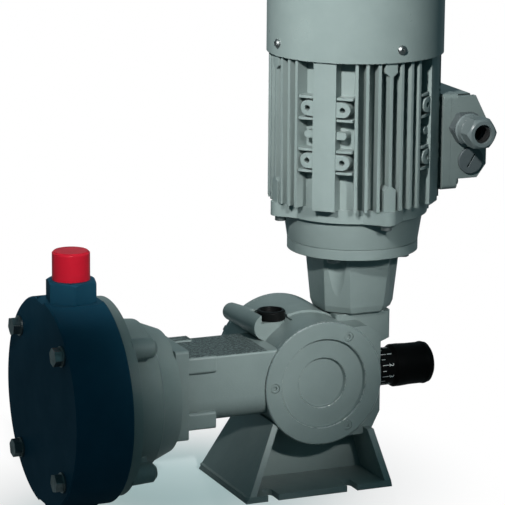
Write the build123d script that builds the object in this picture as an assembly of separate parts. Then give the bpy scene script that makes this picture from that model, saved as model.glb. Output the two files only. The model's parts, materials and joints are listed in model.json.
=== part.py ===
"""Mechanically driven diaphragm metering pump with a vertical flange motor.

Millimetres, +Z up.  X runs along the push rod, from the pump head at -X to the
stroke knob at +X.  The origin lies under the gearbox on the foot's underside.
One STEP file is written for each sub-part.
"""

import os
from math import cos, degrees, pi, radians, sin, sqrt, tan

from build123d import *

# ---------------------------------------------------------------- fits
RUN_FIT = 0.04          # radial clearance of a shaft that turns or slides
SEAT_FIT = 0.02         # radial clearance of a part that stays in its seat
SCREW_FIT = 0.5         # radial clearance of a screw in a plain hole
THREAD_FIT = 0.15       # radial clearance left for a modelled screw thread
REST_GAP = 0.3          # gap between faces of two bodies that touch at rest
AIR_GAP = 0.6           # gap round parts that move past each other

# ---------------------------------------------------------------- main axes
AXIS_Z = 85.0           # height of the push rod over the foot
MOTOR_X = 47.0          # motor and worm axis
MOTOR_Y = 22.0
STROKE = 6.0            # full travel of the push rod
ECCENTRICITY = STROKE / 2

# ---------------------------------------------------------------- pump head
HEAD_R = 82.5
HEAD_FRONT_X = -225.0
HEAD_THICK = 46.0
HEAD_REAR_X = HEAD_FRONT_X + HEAD_THICK
HEAD_EDGE = 1.2
CHAMBER_R = 52.0
CHAMBER_FLOOR_R = 42.0
CHAMBER_DEPTH = 12.0
BOLT_RING_R = 70.0
BOLT_R = 4.0
BOLT_AF = 13.0
BOLT_HEAD_H = 6.0
WASHER_R = 8.0
WASHER_T = 1.6

DIAPHRAGM_R = 64.0
DIAPHRAGM_T = 3.5
CLAMP_DISC_R = 26.0
CLAMP_DISC_T = 4.0
SUPPORT_R = 38.0
SUPPORT_T = 6.0

# ---------------------------------------------------------------- valves
VALVE_X = -200.0
VALVE_SEAT_H = 79.5     # height of the spot face over the pump axis
VALVE_HEX_AF = 36.0
VALVE_HEX_H = 16.5
VALVE_HEX_TURN = 19.3   # azimuth of one corner
PORT_R = 13.2           # G 3/4 male thread
PORT_L = 18.0
SPIGOT_R = 14.8
SPIGOT_L = 26.0
VALVE_BORE_R = 9.0
BALL_R = 7.5
BALL_LIFT = 3.0
SEAT_RING_T = 5.0
SEAT_RING_BORE_R = 6.0
PASSAGE_R = 7.0
CAGE_BAR = 2.4
O_RING_R = 16.4
O_RING_WIRE_R = 1.1
CAP_R = 14.65
CAP_H = 22.5
CAP_WALL = 1.3

# ---------------------------------------------------------------- head carrier
CARRIER_FLANGE_R = 78.0
CARRIER_FLANGE_T = 9.0
CARRIER_DRUM_R = 60.0
CARRIER_DRUM_END_R = 58.0
CARRIER_DRUM_END_X = -146.0
CARRIER_CONE_END_R = 49.0
CARRIER_BORE_R = 50.0
CARRIER_REAR_BORE_R = 43.0
CARRIER_PLATE = 72.0
CARRIER_PLATE_T = 11.0
CARRIER_REAR_X = -117.0
CARRIER_BOSS_R = 7.8
CARRIER_BOSS_END_X = -150.0
PLATE_Z = 88.6          # centre height of the square joint and of the barrel
JOINT_SCREW_Y = 26.0
JOINT_SCREW_Z = 22.0
JOINT_SCREW_R = 4.0
JOINT_HEAD_R = 6.5
JOINT_HEAD_H = 8.0

ROD_R = 8.0
ROD_TIP_R = 5.0
BUSH_R = 12.0
BUSH_L = 24.0
HUB_R = 17.0

# ---------------------------------------------------------------- gear housing
BARREL_HALF_W = 29.5
BARREL_HALF_H = 27.9
BARREL_CORNER = 20.0
BARREL_BOSS_L = 24.0
SPRING_BORE_R = 18.0
BARREL_WALL = 8.0

DRUM_R = 50.5
DRUM_FRONT_R = 49.0
DRUM_FRONT_Y = -25.5
DRUM_STEP_Y = 8.0
DRUM_REAR_Y = 65.0
FRONT_BORE_R = 38.0
REAR_BORE_R = 41.9

COVER_R = 50.1
COVER_T = 5.0
COVER_WALL = 4.0
DISH_R = 36.4
DISH_DEPTH = 3.2
DISC_R = 20.6
DISC_DEPTH = 3.0
DISH_DRAFT = 1.4
COVER_SCREW_RING = 41.9
COVER_SCREW_R = 2.0
COVER_SCREW_HEAD_R = 3.5
COVER_SCREW_HEAD_H = 3.0

REAR_COVER_T = 6.0
REAR_SCREW_RING = 46.2
REAR_SCREW_R = 2.0
DRAIN_R = 4.1

SIDE_FACE_X = 52.0
SIDE_FACE_BOTTOM = 56.0
SIDE_FACE_TOP = 119.0
NECK_HALF = 24.0
NECK_BOTTOM = 111.0
NECK_TOP = 132.0
COLUMN_R = 16.0
COLUMN_BOTTOM = 46.0

FOOT_LEFT = -74.0
FOOT_RIGHT = 52.0
FOOT_HALF_D = 50.0
FOOT_PLATE_T = 5.0
FOOT_WALL_T = 5.5
FOOT_WEB_Y = -4.0
FOOT_WEB_REAR_Y = 30.0
NOTCH_X = (-51.0, 17.0)
NOTCH_W = 9.0
NOTCH_DEPTH = 16.0

FILLER_FRONT = (-36.3, 0.0, 127.2)
FILLER_REAR = (-42.5, 64.0, 126.3)
FILLER_FRONT_R = 11.0
FILLER_REAR_R = 7.0
PLUG_X = -28.1
PLUG_Y = 11.5
PLUG_SEAT_Z = 130.4
PLUG_R = 11.5
PLUG_H = 7.9
PLUG_STEM_R = 7.0
PLUG_STEM_L = 9.0

# ---------------------------------------------------------------- gearing
MODULE = 2.0
WHEEL_TEETH = 39
WORM_Q = 8.0            # worm pitch diameter over module
WORM_L = 34.0
WORM_TURNS = 5          # odd, so that a thread crest faces the wheel at axis height
WHEEL_W = 11.0
TOOTH_THIN = 0.30       # backlash cut from each flank
TIP_GAP = 0.5

SHAFT_FRONT_R = 7.5
SHAFT_MID_R = 11.0
SHAFT_REAR_R = 10.0
ECC_DISC_R = 14.0
ECC_HALF_W = 8.0
RING_T = 4.0
FRONT_BEARING_R = 17.5
FRONT_BEARING_W = 11.0
REAR_BEARING_R = 23.5
REAR_BEARING_W = 14.0
BEARING_WALL = 4.0

WORM_LOWER_R = 6.0
WORM_LOWER_BEARING_R = 13.0
WORM_LOWER_GAP = 8.0        # from the worm's end to its lower bearing, which passes under the wheel's teeth
WORM_LOWER_BEARING_W = 8.0
WORM_UPPER_R = 7.5
WORM_UPPER_BEARING_R = 17.5
WORM_UPPER_BEARING_W = 11.0
COUPLING_R = 13.0
COUPLING_BOTTOM = 144.0
COUPLING_TOP = 176.0

YOKE_HALF_W = 8.0
YOKE_BAR = 4.4
YOKE_END = 7.0
YOKE_CORNER = 20.0
SPRING_WIRE_R = 1.3
SPRING_R = 13.0
SPRING_TURNS = 8
COLLAR_T = 4.0

# ---------------------------------------------------------------- stroke knob
THREAD_PITCH = 1.0
SCREW_R = 5.0
PIN_R = 6.0
PIN_L = 14.0
NUT_START_X = 36.5      # clear of the yoke at full stroke
THREAD_START_X = 50.0   # clear of the stop pin at full stroke
SLEEVE_R = 12.5
SLEEVE_NUT_R = 9.0
SLEEVE_END_X = 78.0
THIMBLE_R = 15.2
THIMBLE_START_X = 58.0
THIMBLE_BORE_R = 13.0
GRIP_R = 17.3
GRIP_START_X = 70.0
GRIP_END_X = 106.0
KNOB_WEB_X = 86.0
SCALLOP_R = 16.4

# ---------------------------------------------------------------- adapter
RING_R = 52.5
RING_BOTTOM = 181.5
RING_TOP = 189.5
TOWER_TOP_HALF = 33.5
TOWER_BOTTOM_HALF = 30.0
TOWER_CORNER = 15.5
TOWER_FLOOR = 8.0
TOWER_BORE_HALF = 24.0
ADAPTER_SCREW = 17.0
FLANGE_BOLT_RING = 42.5
RELIEF_R = 11.5          # bolt head and socket clearance down the tower's corners
SPIGOT_FLANGE_R = 35.0
SPIGOT_FLANGE_H = 2.5

# ---------------------------------------------------------------- motor
SHIELD_TOP_R = 56.0
LUG_PLATE_BOTTOM = 212.5
BODY_BOTTOM = 223.5
BODY_TOP = 350.0
REAR_SHIELD_T = 12.0
LUG_RING = 63.0
LUG_R = 8.0
LUG_PLATE_R = 59.5
CORE_R = 57.0
FIN_R = 68.3
FIN_COUNT = 44
FIN_T = 2.6
BODY_BORE_R = 50.0
TIE_LUG_W = 10.0
TIE_LUG_L = 21.0
PAD_ANGLES = (225.0, 315.0)
PAD_ZONE = 21.5         # half the angle taken by a pad and its two ribs
PAD_HALF_W = 9.5
PAD_BOSS_Y = 14.5
PAD_BOSS_R = 6.0
PAD_EDGE_Y = 22.5
PAD_HOLE_Z = 41.5
PAD_CENTRE_Z = 283.5

STATOR_BOTTOM = 252.0
STATOR_TOP = 318.0
STATOR_BORE_R = 32.0
WINDING_H = 16.0
ROTOR_R = 31.4
MOTOR_SHAFT_R = 7.0
MOTOR_SHAFT_L = 30.0
MOTOR_BEARING_R = 17.5
MOTOR_BEARING_W = 11.0
FAN_R = 56.0
FAN_BLADES = 9
FAN_BOTTOM = 368.0
FAN_H = 22.0
FAN_COVER_R = 70.3
FAN_COVER_BOTTOM = 341.0
FAN_COVER_TOP = 402.0
FAN_COVER_T = 1.5
FAN_COVER_EDGE = 9.0
FAN_SCREW_Z = 351.0
FAN_SCREW_TURN = 6.0
FAN_LUG_W = 12.0
GRILLE_RINGS = (20.0, 29.0, 38.0, 47.0)
GRILLE_SLOT_W = 4.6
GRILLE_SPOKE_DEG = 9.0

# ---------------------------------------------------------------- terminal box
BOX_Y0 = -20.0
BOX_Y1 = 64.0
BOX_Z0 = 231.0
BOX_Z1 = 308.0
BOX_BASE_X = 100.0
BOX_SEAM_X = 112.5
LID_FLANGE_X = 118.5
LID_FACE_X = 144.0
LID_Z0 = 239.5
LID_Z1 = 306.0
LID_TOP_CUT = (10.3, 20.0)
LID_LOW_CUT = (8.0, 10.5)
BOX_WALL = 3.0
GLAND_X = 124.0
GLAND_Z = 281.0
GLAND_AF = 24.0
GLAND_NUT_R = 12.2
GLAND_BORE_R = 6.5
GLAND_THREAD_R = 10.0
GLAND_L = 33.0
BLIND_X = 129.8
BLIND_Z = 254.0
BLIND_R = 10.9

CENTRED = (Align.CENTER, Align.CENTER, Align.MIN)


# ================================================================ helpers
def rod_z(z0, z1, r, x=MOTOR_X, y=MOTOR_Y):
    """Cylinder along Z between two heights."""
    return Pos(x, y, z0) * Cylinder(r, z1 - z0, align=CENTRED)


def rod_x(x0, x1, r, y=0.0, z=AXIS_Z):
    """Cylinder along X between two stations."""
    return Pos(x0, y, z) * Rot(0, 90, 0) * Cylinder(r, x1 - x0, align=CENTRED)


def rod_y(y0, y1, r, x=0.0, z=AXIS_Z):
    """Cylinder along Y between two stations."""
    return Pos(x, y0, z) * Rot(-90, 0, 0) * Cylinder(r, y1 - y0, align=CENTRED)


def block(x0, x1, y0, y1, z0, z1):
    """Box from its six faces."""
    centre = Pos((x0 + x1) / 2, (y0 + y1) / 2, (z0 + z1) / 2)
    return centre * Box(x1 - x0, y1 - y0, z1 - z0)


def turned(profile):
    """Solid of revolution about Z from (radius, height) points."""
    outline = Polyline([(r, 0, h) for r, h in profile], close=True)
    return revolve(make_face(outline), Axis.Z)


def turned_x(profile, y=0.0, z=AXIS_Z):
    """Solid of revolution about the X direction from (radius, x) points."""
    return Pos(0, y, z) * Rot(0, 90, 0) * turned(profile)


def turned_y(profile, x=0.0, z=AXIS_Z):
    """Solid of revolution about the Y direction from (radius, y) points."""
    return Pos(x, 0, z) * Rot(-90, 0, 0) * turned(profile)


def turned_z(profile, x=MOTOR_X, y=MOTOR_Y):
    """Solid of revolution about a vertical axis from (radius, z) points."""
    return Pos(x, y, 0) * turned(profile)


def hex_prism(across_flats, height):
    """Hexagonal prism standing on the XY plane."""
    return extrude(RegularPolygon(across_flats / sqrt(3), 6), height)


def ring_angles(count, start=45.0):
    """Evenly spaced angles in degrees."""
    return [start + 360.0 * i / count for i in range(count)]


def on_x_ring(radius, angle, z=AXIS_Z):
    """Point of a bolt circle round the push rod axis, as (y, z)."""
    return radius * cos(radians(angle)), z + radius * sin(radians(angle))


def on_motor_ring(radius, angle):
    """Point of a bolt circle round the motor axis, as (x, y)."""
    return MOTOR_X + radius * cos(radians(angle)), MOTOR_Y + radius * sin(radians(angle))


def turned_about_motor(shape, angle):
    """Copy of a shape turned about the motor axis."""
    place = Pos(MOTOR_X, MOTOR_Y, 0) * Rot(0, 0, angle) * Pos(-MOTOR_X, -MOTOR_Y, 0)
    return place * shape


def hex_bolt(shank_r, length, across_flats, head_h, washer_t=0.0):
    """Hex bolt with its head above the XY plane and its shank below."""
    head = Pos(0, 0, washer_t) * hex_prism(across_flats, head_h)
    head = head & Pos(0, 0, washer_t) * Cylinder(across_flats * 0.56, head_h, align=CENTRED)
    return head + Pos(0, 0, -length) * Cylinder(shank_r, length + washer_t, align=CENTRED)


def socket_screw(shank_r, length, head_r, head_h):
    """Socket head screw with its head above the XY plane and its shank below."""
    head = Cylinder(head_r, head_h, align=CENTRED)
    head -= Pos(0, 0, head_h / 2) * hex_prism(head_r * 0.95, head_h)
    return head + Pos(0, 0, -length) * Cylinder(shank_r, length, align=CENTRED)


def ball_bearing(outer_r, bore_r, width):
    """Shielded ball bearing with recessed shields, standing on the XY plane."""
    rim = (outer_r - bore_r) * 0.2
    recess = width * 0.08
    profile = [
        (bore_r, 0), (bore_r + rim, 0), (bore_r + rim, recess), (outer_r - rim, recess),
        (outer_r - rim, 0), (outer_r, 0), (outer_r, width), (outer_r - rim, width),
        (outer_r - rim, width - recess), (bore_r + rim, width - recess), (bore_r + rim, width), (bore_r, width),
    ]
    return turned(profile)


def save(name, shape):
    """Write one sub-part."""
    if not isinstance(shape, Compound):
        shape = Compound([shape])
    export_step(shape, f"parts/{name}.step")


# ================================================================ pump head
DIAPHRAGM_FRONT_X = HEAD_REAR_X - DIAPHRAGM_T
CHAMBER_FLOOR_X = DIAPHRAGM_FRONT_X - CHAMBER_DEPTH
TOP_SEAT_Z = AXIS_Z + VALVE_SEAT_H
LOW_SEAT_Z = AXIS_Z - VALVE_SEAT_H
SPIGOT_END = VALVE_SEAT_H - SPIGOT_L              # heights over the pump axis
SEAT_RING_END = SPIGOT_END - SEAT_RING_T
BALL_SINK = sqrt(BALL_R**2 - SEAT_RING_BORE_R**2) + 0.05


def pump_head():
    body = turned_x([(0, HEAD_FRONT_X), (HEAD_R, HEAD_FRONT_X), (HEAD_R, HEAD_REAR_X), (0, HEAD_REAR_X)])
    body = chamfer(body.edges().filter_by(GeomType.CIRCLE), HEAD_EDGE)
    body -= rod_x(DIAPHRAGM_FRONT_X, HEAD_REAR_X, DIAPHRAGM_R + SEAT_FIT)
    body -= turned_x([
        (0, CHAMBER_FLOOR_X), (CHAMBER_FLOOR_R, CHAMBER_FLOOR_X),
        (CHAMBER_R, DIAPHRAGM_FRONT_X), (0, DIAPHRAGM_FRONT_X),
    ])
    for angle in ring_angles(4):
        y, z = on_x_ring(BOLT_RING_R, angle)
        body -= rod_x(HEAD_FRONT_X, HEAD_REAR_X, BOLT_R + SCREW_FIT, y, z)
    return body - discharge_pocket() - suction_pocket()


def cross_passage(height):
    """Drilling that joins a valve pocket to the chamber."""
    return rod_x(VALVE_X, CHAMBER_FLOOR_X + 4, PASSAGE_R - 1, 0, AXIS_Z + height)


def discharge_pocket():
    """Stepped bore from the spot face on top of the head down to the chamber."""
    top = AXIS_Z + HEAD_R + 1
    bore = rod_z(TOP_SEAT_Z, top, 26, VALVE_X, 0)
    bore += rod_z(AXIS_Z + SEAT_RING_END, TOP_SEAT_Z, SPIGOT_R + SEAT_FIT, VALVE_X, 0)
    bore += rod_z(TOP_SEAT_Z - 2.4, TOP_SEAT_Z, O_RING_R + 1.5, VALVE_X, 0)
    passage_z = CHAMBER_FLOOR_R - PASSAGE_R
    bore += rod_z(AXIS_Z + passage_z, AXIS_Z + SEAT_RING_END, SEAT_RING_BORE_R, VALVE_X, 0)
    return bore + cross_passage(passage_z)


def suction_pocket():
    """Stepped bore from the spot face under the head up to the chamber, with the upper ball stop."""
    bottom = AXIS_Z - HEAD_R - 1
    cage_top = LOW_SEAT_Z + SPIGOT_L + 3
    bore = rod_z(bottom, LOW_SEAT_Z, 26, VALVE_X, 0)
    ring_top = suction_ring_top()
    bore += rod_z(LOW_SEAT_Z, ring_top, SPIGOT_R + SEAT_FIT, VALVE_X, 0)
    bore += rod_z(LOW_SEAT_Z, LOW_SEAT_Z + 2.4, O_RING_R + 1.5, VALVE_X, 0)
    passage_z = CHAMBER_FLOOR_R - PASSAGE_R
    cage = rod_z(ring_top, cage_top, VALVE_BORE_R, VALVE_X, 0)
    stop_z = ring_top + BALL_SINK + BALL_R + BALL_LIFT + REST_GAP
    cage -= cage_bars(stop_z)
    bore += cage
    bore += rod_z(cage_top, AXIS_Z - passage_z, SEAT_RING_BORE_R, VALVE_X, 0)
    return bore + cross_passage(-passage_z)


def suction_ring_top():
    """Height of the suction seat ring's upper face."""
    return LOW_SEAT_Z + SPIGOT_L / 2


def cage_bars(z0):
    """Crossed bars that stop a ball."""
    bars = block(VALVE_X - VALVE_BORE_R, VALVE_X + VALVE_BORE_R, -CAGE_BAR / 2, CAGE_BAR / 2, z0, z0 + CAGE_BAR)
    bars += block(VALVE_X - CAGE_BAR / 2, VALVE_X + CAGE_BAR / 2, -VALVE_BORE_R, VALVE_BORE_R, z0, z0 + CAGE_BAR)
    return bars


def valve_outside(seat_z, up):
    """Hexagon and male port of a valve body, from its spot face outwards (up is 1 or -1)."""
    hexagon = Rot(0, 0, VALVE_HEX_TURN) * hex_prism(VALVE_HEX_AF, VALVE_HEX_H)
    hexagon &= turned([
        (0, 0), (VALVE_HEX_AF * 0.62, 0), (VALVE_HEX_AF * 0.62, VALVE_HEX_H - 3),
        (VALVE_HEX_AF * 0.5, VALVE_HEX_H), (0, VALVE_HEX_H),
    ])
    port_top = VALVE_HEX_H + PORT_L
    port = turned([
        (0, VALVE_HEX_H), (PORT_R - 1.2, VALVE_HEX_H), (PORT_R - 1.2, VALVE_HEX_H + 2), (PORT_R, VALVE_HEX_H + 3.2),
        (PORT_R, port_top - 1), (PORT_R - 1, port_top), (0, port_top),
    ])
    outside = hexagon + port
    if up < 0:
        outside = Rot(180, 0, 0) * Rot(0, 0, -2 * VALVE_HEX_TURN) * outside
    return Pos(VALVE_X, 0, seat_z) * outside


def discharge_valve_body():
    spigot_z = AXIS_Z + SPIGOT_END + REST_GAP / 3
    port_end = TOP_SEAT_Z + VALVE_HEX_H + PORT_L
    body = valve_outside(TOP_SEAT_Z, 1) + rod_z(spigot_z, TOP_SEAT_Z, SPIGOT_R, VALVE_X, 0)
    bore = rod_z(spigot_z, port_end, VALVE_BORE_R, VALVE_X, 0)
    stop_z = AXIS_Z + SPIGOT_END + BALL_SINK + BALL_R + BALL_LIFT + REST_GAP
    return body - (bore - cage_bars(stop_z))


def suction_valve_body():
    spigot_z = suction_ring_top() - SEAT_RING_T - REST_GAP / 3
    port_end = LOW_SEAT_Z - VALVE_HEX_H - PORT_L
    body = valve_outside(LOW_SEAT_Z, -1) + rod_z(LOW_SEAT_Z, spigot_z, SPIGOT_R, VALVE_X, 0)
    return body - rod_z(port_end, spigot_z, VALVE_BORE_R, VALVE_X, 0)


def seat_ring(z0):
    ring = rod_z(z0, z0 + SEAT_RING_T, SPIGOT_R - SEAT_FIT, VALVE_X, 0)
    return ring - rod_z(z0, z0 + SEAT_RING_T, SEAT_RING_BORE_R, VALVE_X, 0)


def valve_seats():
    return Compound([seat_ring(AXIS_Z + SEAT_RING_END), seat_ring(suction_ring_top() - SEAT_RING_T)])


def o_ring(z):
    return Pos(VALVE_X, 0, z) * Torus(O_RING_R - 0.2, O_RING_WIRE_R)


def valve_o_rings():
    drop = O_RING_WIRE_R + 0.1
    return Compound([o_ring(TOP_SEAT_Z - drop), o_ring(LOW_SEAT_Z + drop)])


def ball(seat_z):
    return Pos(VALVE_X, 0, seat_z + BALL_SINK) * Sphere(BALL_R)


def protective_cap(seat_z, up):
    """Cap pushed over a male port."""
    inner_r = PORT_R + THREAD_FIT
    edge = 1.5
    shell = turned([
        (0, CAP_H), (CAP_R - edge, CAP_H), (CAP_R, CAP_H - edge), (CAP_R, 0.1), (inner_r, 0.1),
        (inner_r, PORT_L + 1.2), (0, PORT_L + 1.2),
    ])
    if up < 0:
        shell = Rot(180, 0, 0) * shell
    return Pos(VALVE_X, 0, seat_z + up * VALVE_HEX_H) * shell


def head_bolts():
    """Four hex bolts through the head into the bosses of the carrier."""
    length = -HEAD_FRONT_X + CARRIER_BOSS_END_X - 4
    bolt = hex_bolt(BOLT_R, length, BOLT_AF, BOLT_HEAD_H, WASHER_T)
    bolts = []
    for angle in ring_angles(4):
        y, z = on_x_ring(BOLT_RING_R, angle)
        bolts.append(Pos(HEAD_FRONT_X, y, z) * Rot(0, -90, 0) * Rot(0, 0, angle) * bolt)
    return Compound(bolts)


def head_washers():
    washers = []
    for angle in ring_angles(4):
        y, z = on_x_ring(BOLT_RING_R, angle)
        ring = rod_x(HEAD_FRONT_X - WASHER_T, HEAD_FRONT_X, WASHER_R, y, z)
        washers.append(ring - rod_x(HEAD_FRONT_X - WASHER_T, HEAD_FRONT_X, BOLT_R + THREAD_FIT, y, z))
    return Compound(washers)


def diaphragm():
    """Clamped rim, thin rolled web and a flat centre."""
    x0, x1 = DIAPHRAGM_FRONT_X, HEAD_REAR_X
    thin = 1.2
    profile = [
        (ROD_TIP_R + SEAT_FIT, x0), (CLAMP_DISC_R, x0), (CLAMP_DISC_R + 6, x0 + thin), (CHAMBER_R - 5, x0 + thin),
        (CHAMBER_R, x0), (DIAPHRAGM_R, x0), (DIAPHRAGM_R, x1), (CHAMBER_R, x1), (CHAMBER_R - 3, x1 - 0.8),
        (SUPPORT_R + 1, x1 - 0.8), (SUPPORT_R, x1), (ROD_TIP_R + SEAT_FIT, x1),
    ]
    return turned_x(profile)


def diaphragm_clamp_disc():
    """Front disc with two spanner holes, screwed on the tip of the push rod."""
    x0, x1 = DIAPHRAGM_FRONT_X - CLAMP_DISC_T, DIAPHRAGM_FRONT_X
    profile = [
        (0, x0), (CLAMP_DISC_R - 1.5, x0), (CLAMP_DISC_R, x0 + 1.5), (CLAMP_DISC_R, x1),
        (ROD_TIP_R + SEAT_FIT, x1), (ROD_TIP_R + SEAT_FIT, x0 + 1.2), (0, x0 + 1.2),
    ]
    disc = turned_x(profile)
    for side in (-1, 1):
        disc -= rod_x(x0, x0 + 2.5, 2, side * CLAMP_DISC_R * 0.6)
    return disc


def diaphragm_plate():
    """Dished support disc behind the diaphragm."""
    x0, x1 = HEAD_REAR_X, HEAD_REAR_X + SUPPORT_T
    profile = [
        (ROD_TIP_R + SEAT_FIT, x0), (SUPPORT_R - 2, x0), (SUPPORT_R, x0 + 2), (SUPPORT_R, x0 + 3),
        (HUB_R, x1), (ROD_TIP_R + SEAT_FIT, x1),
    ]
    return turned_x(profile)


# ================================================================ carrier
PLATE_X = CARRIER_REAR_X - CARRIER_PLATE_T


def joint_screw_places():
    """Centres of the four screws of the square joint, as (y, z)."""
    return [(sy * JOINT_SCREW_Y, PLATE_Z + sz * JOINT_SCREW_Z) for sy in (-1, 1) for sz in (-1, 1)]


def carrier_body():
    flange_end = HEAD_REAR_X + CARRIER_FLANGE_T
    outside = turned_x([
        (0, HEAD_REAR_X), (CARRIER_FLANGE_R, HEAD_REAR_X), (CARRIER_FLANGE_R, flange_end),
        (CARRIER_DRUM_R + 4, flange_end), (CARRIER_DRUM_R, flange_end + 4),
        (CARRIER_DRUM_END_R, CARRIER_DRUM_END_X), (CARRIER_DRUM_END_R - 2, CARRIER_DRUM_END_X + 1.5),
        (CARRIER_CONE_END_R, PLATE_X + 0.5), (0, PLATE_X + 0.5),
    ])
    half = CARRIER_PLATE / 2
    plate = block(PLATE_X, CARRIER_REAR_X, -half, half, PLATE_Z - half, PLATE_Z + half)
    plate = chamfer(plate.edges().filter_by(Axis.X), 1.5)
    return outside + plate


def carrier_boss(angle):
    """Bolt boss that grows out of the drum, with a rounded end."""
    y, z = on_x_ring(BOLT_RING_R, angle)
    start = HEAD_REAR_X + CARRIER_FLANGE_T - 1
    boss = turned_x([
        (0, start), (CARRIER_BOSS_R + 1, start), (CARRIER_BOSS_R, CARRIER_BOSS_END_X - 3),
        (CARRIER_BOSS_R - 3, CARRIER_BOSS_END_X), (0, CARRIER_BOSS_END_X),
    ], y, z)
    inner_y, inner_z = on_x_ring(CARRIER_DRUM_R - 6, angle)
    web = Pos(start, inner_y, inner_z) * Rot(angle, 0, 0) * block(
        0, CARRIER_BOSS_END_X - 6 - start, 0, BOLT_RING_R - CARRIER_DRUM_R + 6, -CARRIER_BOSS_R + 2, CARRIER_BOSS_R - 2)
    return boss + web


def head_carrier():
    """Lantern casting between the pump head and the gearbox."""
    body = carrier_body()
    for angle in ring_angles(4):
        body += carrier_boss(angle)
    cavity = turned_x([
        (0, HEAD_REAR_X), (CARRIER_BORE_R, HEAD_REAR_X), (CARRIER_BORE_R, CARRIER_DRUM_END_X - 6),
        (CARRIER_REAR_BORE_R, PLATE_X - 8), (CARRIER_REAR_BORE_R, PLATE_X), (0, PLATE_X),
    ])
    hub_start = CARRIER_REAR_X - BUSH_L
    hub = rod_x(hub_start, PLATE_X, HUB_R)
    body -= cavity - hub
    body -= rod_x(hub_start, CARRIER_REAR_X, BUSH_R + SEAT_FIT)
    for angle in ring_angles(4):
        y, z = on_x_ring(BOLT_RING_R, angle)
        body -= rod_x(HEAD_REAR_X, CARRIER_BOSS_END_X - 3, BOLT_R + THREAD_FIT, y, z)
    for y, z in joint_screw_places():
        body -= rod_x(PLATE_X, CARRIER_REAR_X, JOINT_SCREW_R + SCREW_FIT, y, z)
    return body - rod_z(-1, AXIS_Z - CARRIER_BORE_R + 1, 4, CARRIER_DRUM_END_X - 14, 0)


def rod_bush():
    """Flanged bronze bush that guides the push rod."""
    start = CARRIER_REAR_X - BUSH_L
    bush = rod_x(start, CARRIER_REAR_X, BUSH_R) + rod_x(start - 2, start, BUSH_R + 3)
    return bush - rod_x(start - 2, CARRIER_REAR_X, ROD_R + RUN_FIT)


def carrier_screws():
    """Socket screws from inside the carrier into the barrel bosses."""
    screw = socket_screw(JOINT_SCREW_R, CARRIER_PLATE_T + 14, JOINT_HEAD_R, JOINT_HEAD_H)
    return Compound([Pos(PLATE_X, y, z) * Rot(0, -90, 0) * screw for y, z in joint_screw_places()])


# ================================================================ gear housing
def barrel():
    """Arm that carries the wet end: flat top, rounded lower corners and four bolt bosses."""
    start, end = CARRIER_REAR_X, -DRUM_R + 12
    z0, z1 = PLATE_Z - BARREL_HALF_H, PLATE_Z + BARREL_HALF_H
    arm = block(start, end, -BARREL_HALF_W, BARREL_HALF_W, z0, z1)
    long_edges = arm.edges().filter_by(Axis.X)
    arm = fillet(long_edges.sort_by(Axis.Z)[:2], BARREL_CORNER)
    arm = fillet(arm.edges().filter_by(Axis.X).sort_by(Axis.Z)[-2:], 2)
    for y, z in joint_screw_places():
        side = 1 if y > 0 else -1
        high = 1 if z > PLATE_Z else -1
        y0, y1 = sorted((side * (BARREL_HALF_W - 11), side * (BARREL_HALF_W + 3.5)))
        centre_z = z + high * 0.5
        boss = block(start, start + BARREL_BOSS_L, y0, y1, centre_z - 7, centre_z + 7)
        arm += fillet(boss.edges().filter_by(Axis.X), 2.5)
    return arm


def drum():
    """Turned part of the gearbox: narrower front band and a wide rear band."""
    return turned_y([
        (0, DRUM_FRONT_Y), (DRUM_FRONT_R, DRUM_FRONT_Y), (DRUM_FRONT_R, DRUM_STEP_Y),
        (DRUM_R, DRUM_STEP_Y + 1.5), (DRUM_R, DRUM_REAR_Y), (0, DRUM_REAR_Y),
    ])


def side_block():
    """Flat-faced block on the knob side, with its sloped lower corner."""
    profile = Polyline([
        (5, 0, 38), (SIDE_FACE_X - 9, 0, 38), (SIDE_FACE_X, 0, SIDE_FACE_BOTTOM), (SIDE_FACE_X, 0, SIDE_FACE_TOP),
        (40, 0, 127), (5, 0, 127),
    ], close=True)
    front, rear = DRUM_FRONT_Y + 1.5, MOTOR_Y + NECK_HALF
    return Pos(0, rear, 0) * extrude(make_face(profile), rear - front, dir=(0, -1, 0))


def neck():
    """Square pedestal under the motor adapter and the round column of the worm."""
    pedestal = block(
        MOTOR_X - NECK_HALF, MOTOR_X + NECK_HALF, MOTOR_Y - NECK_HALF, MOTOR_Y + NECK_HALF, NECK_BOTTOM - 12, NECK_TOP)
    pedestal = fillet(pedestal.edges().filter_by(Axis.Z), 3)
    pedestal &= turned_z([
        (0, NECK_BOTTOM - 12), (COLUMN_R, NECK_BOTTOM - 12), (NECK_HALF * 1.5, NECK_BOTTOM), (NECK_HALF * 1.5, NECK_TOP),
        (0, NECK_TOP),
    ])
    column = rod_z(COLUMN_BOTTOM, NECK_BOTTOM, COLUMN_R)
    return pedestal + column


def filler_boss():
    """Tapered boss along the drum; its flat front end widens into the seat of the filler plug."""
    front = Plane(FILLER_FRONT, z_dir=(0, 1, 0)) * Circle(FILLER_FRONT_R)
    rear = Plane(FILLER_REAR, z_dir=(0, 1, 0)) * Circle(FILLER_REAR_R)
    boss = loft([front, rear], ruled=True)
    boss = fillet(boss.edges().filter_by(GeomType.CIRCLE).sort_by(Axis.Y)[-1:], 4)
    front_y = FILLER_FRONT[1]
    seat = block(FILLER_FRONT[0], PLUG_X, front_y, PLUG_Y + PLUG_R, AXIS_Z + 20, PLUG_SEAT_Z)
    seat += rod_z(AXIS_Z + 20, PLUG_SEAT_Z, PLUG_R - 0.4, PLUG_X, PLUG_Y)
    return boss + seat


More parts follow.
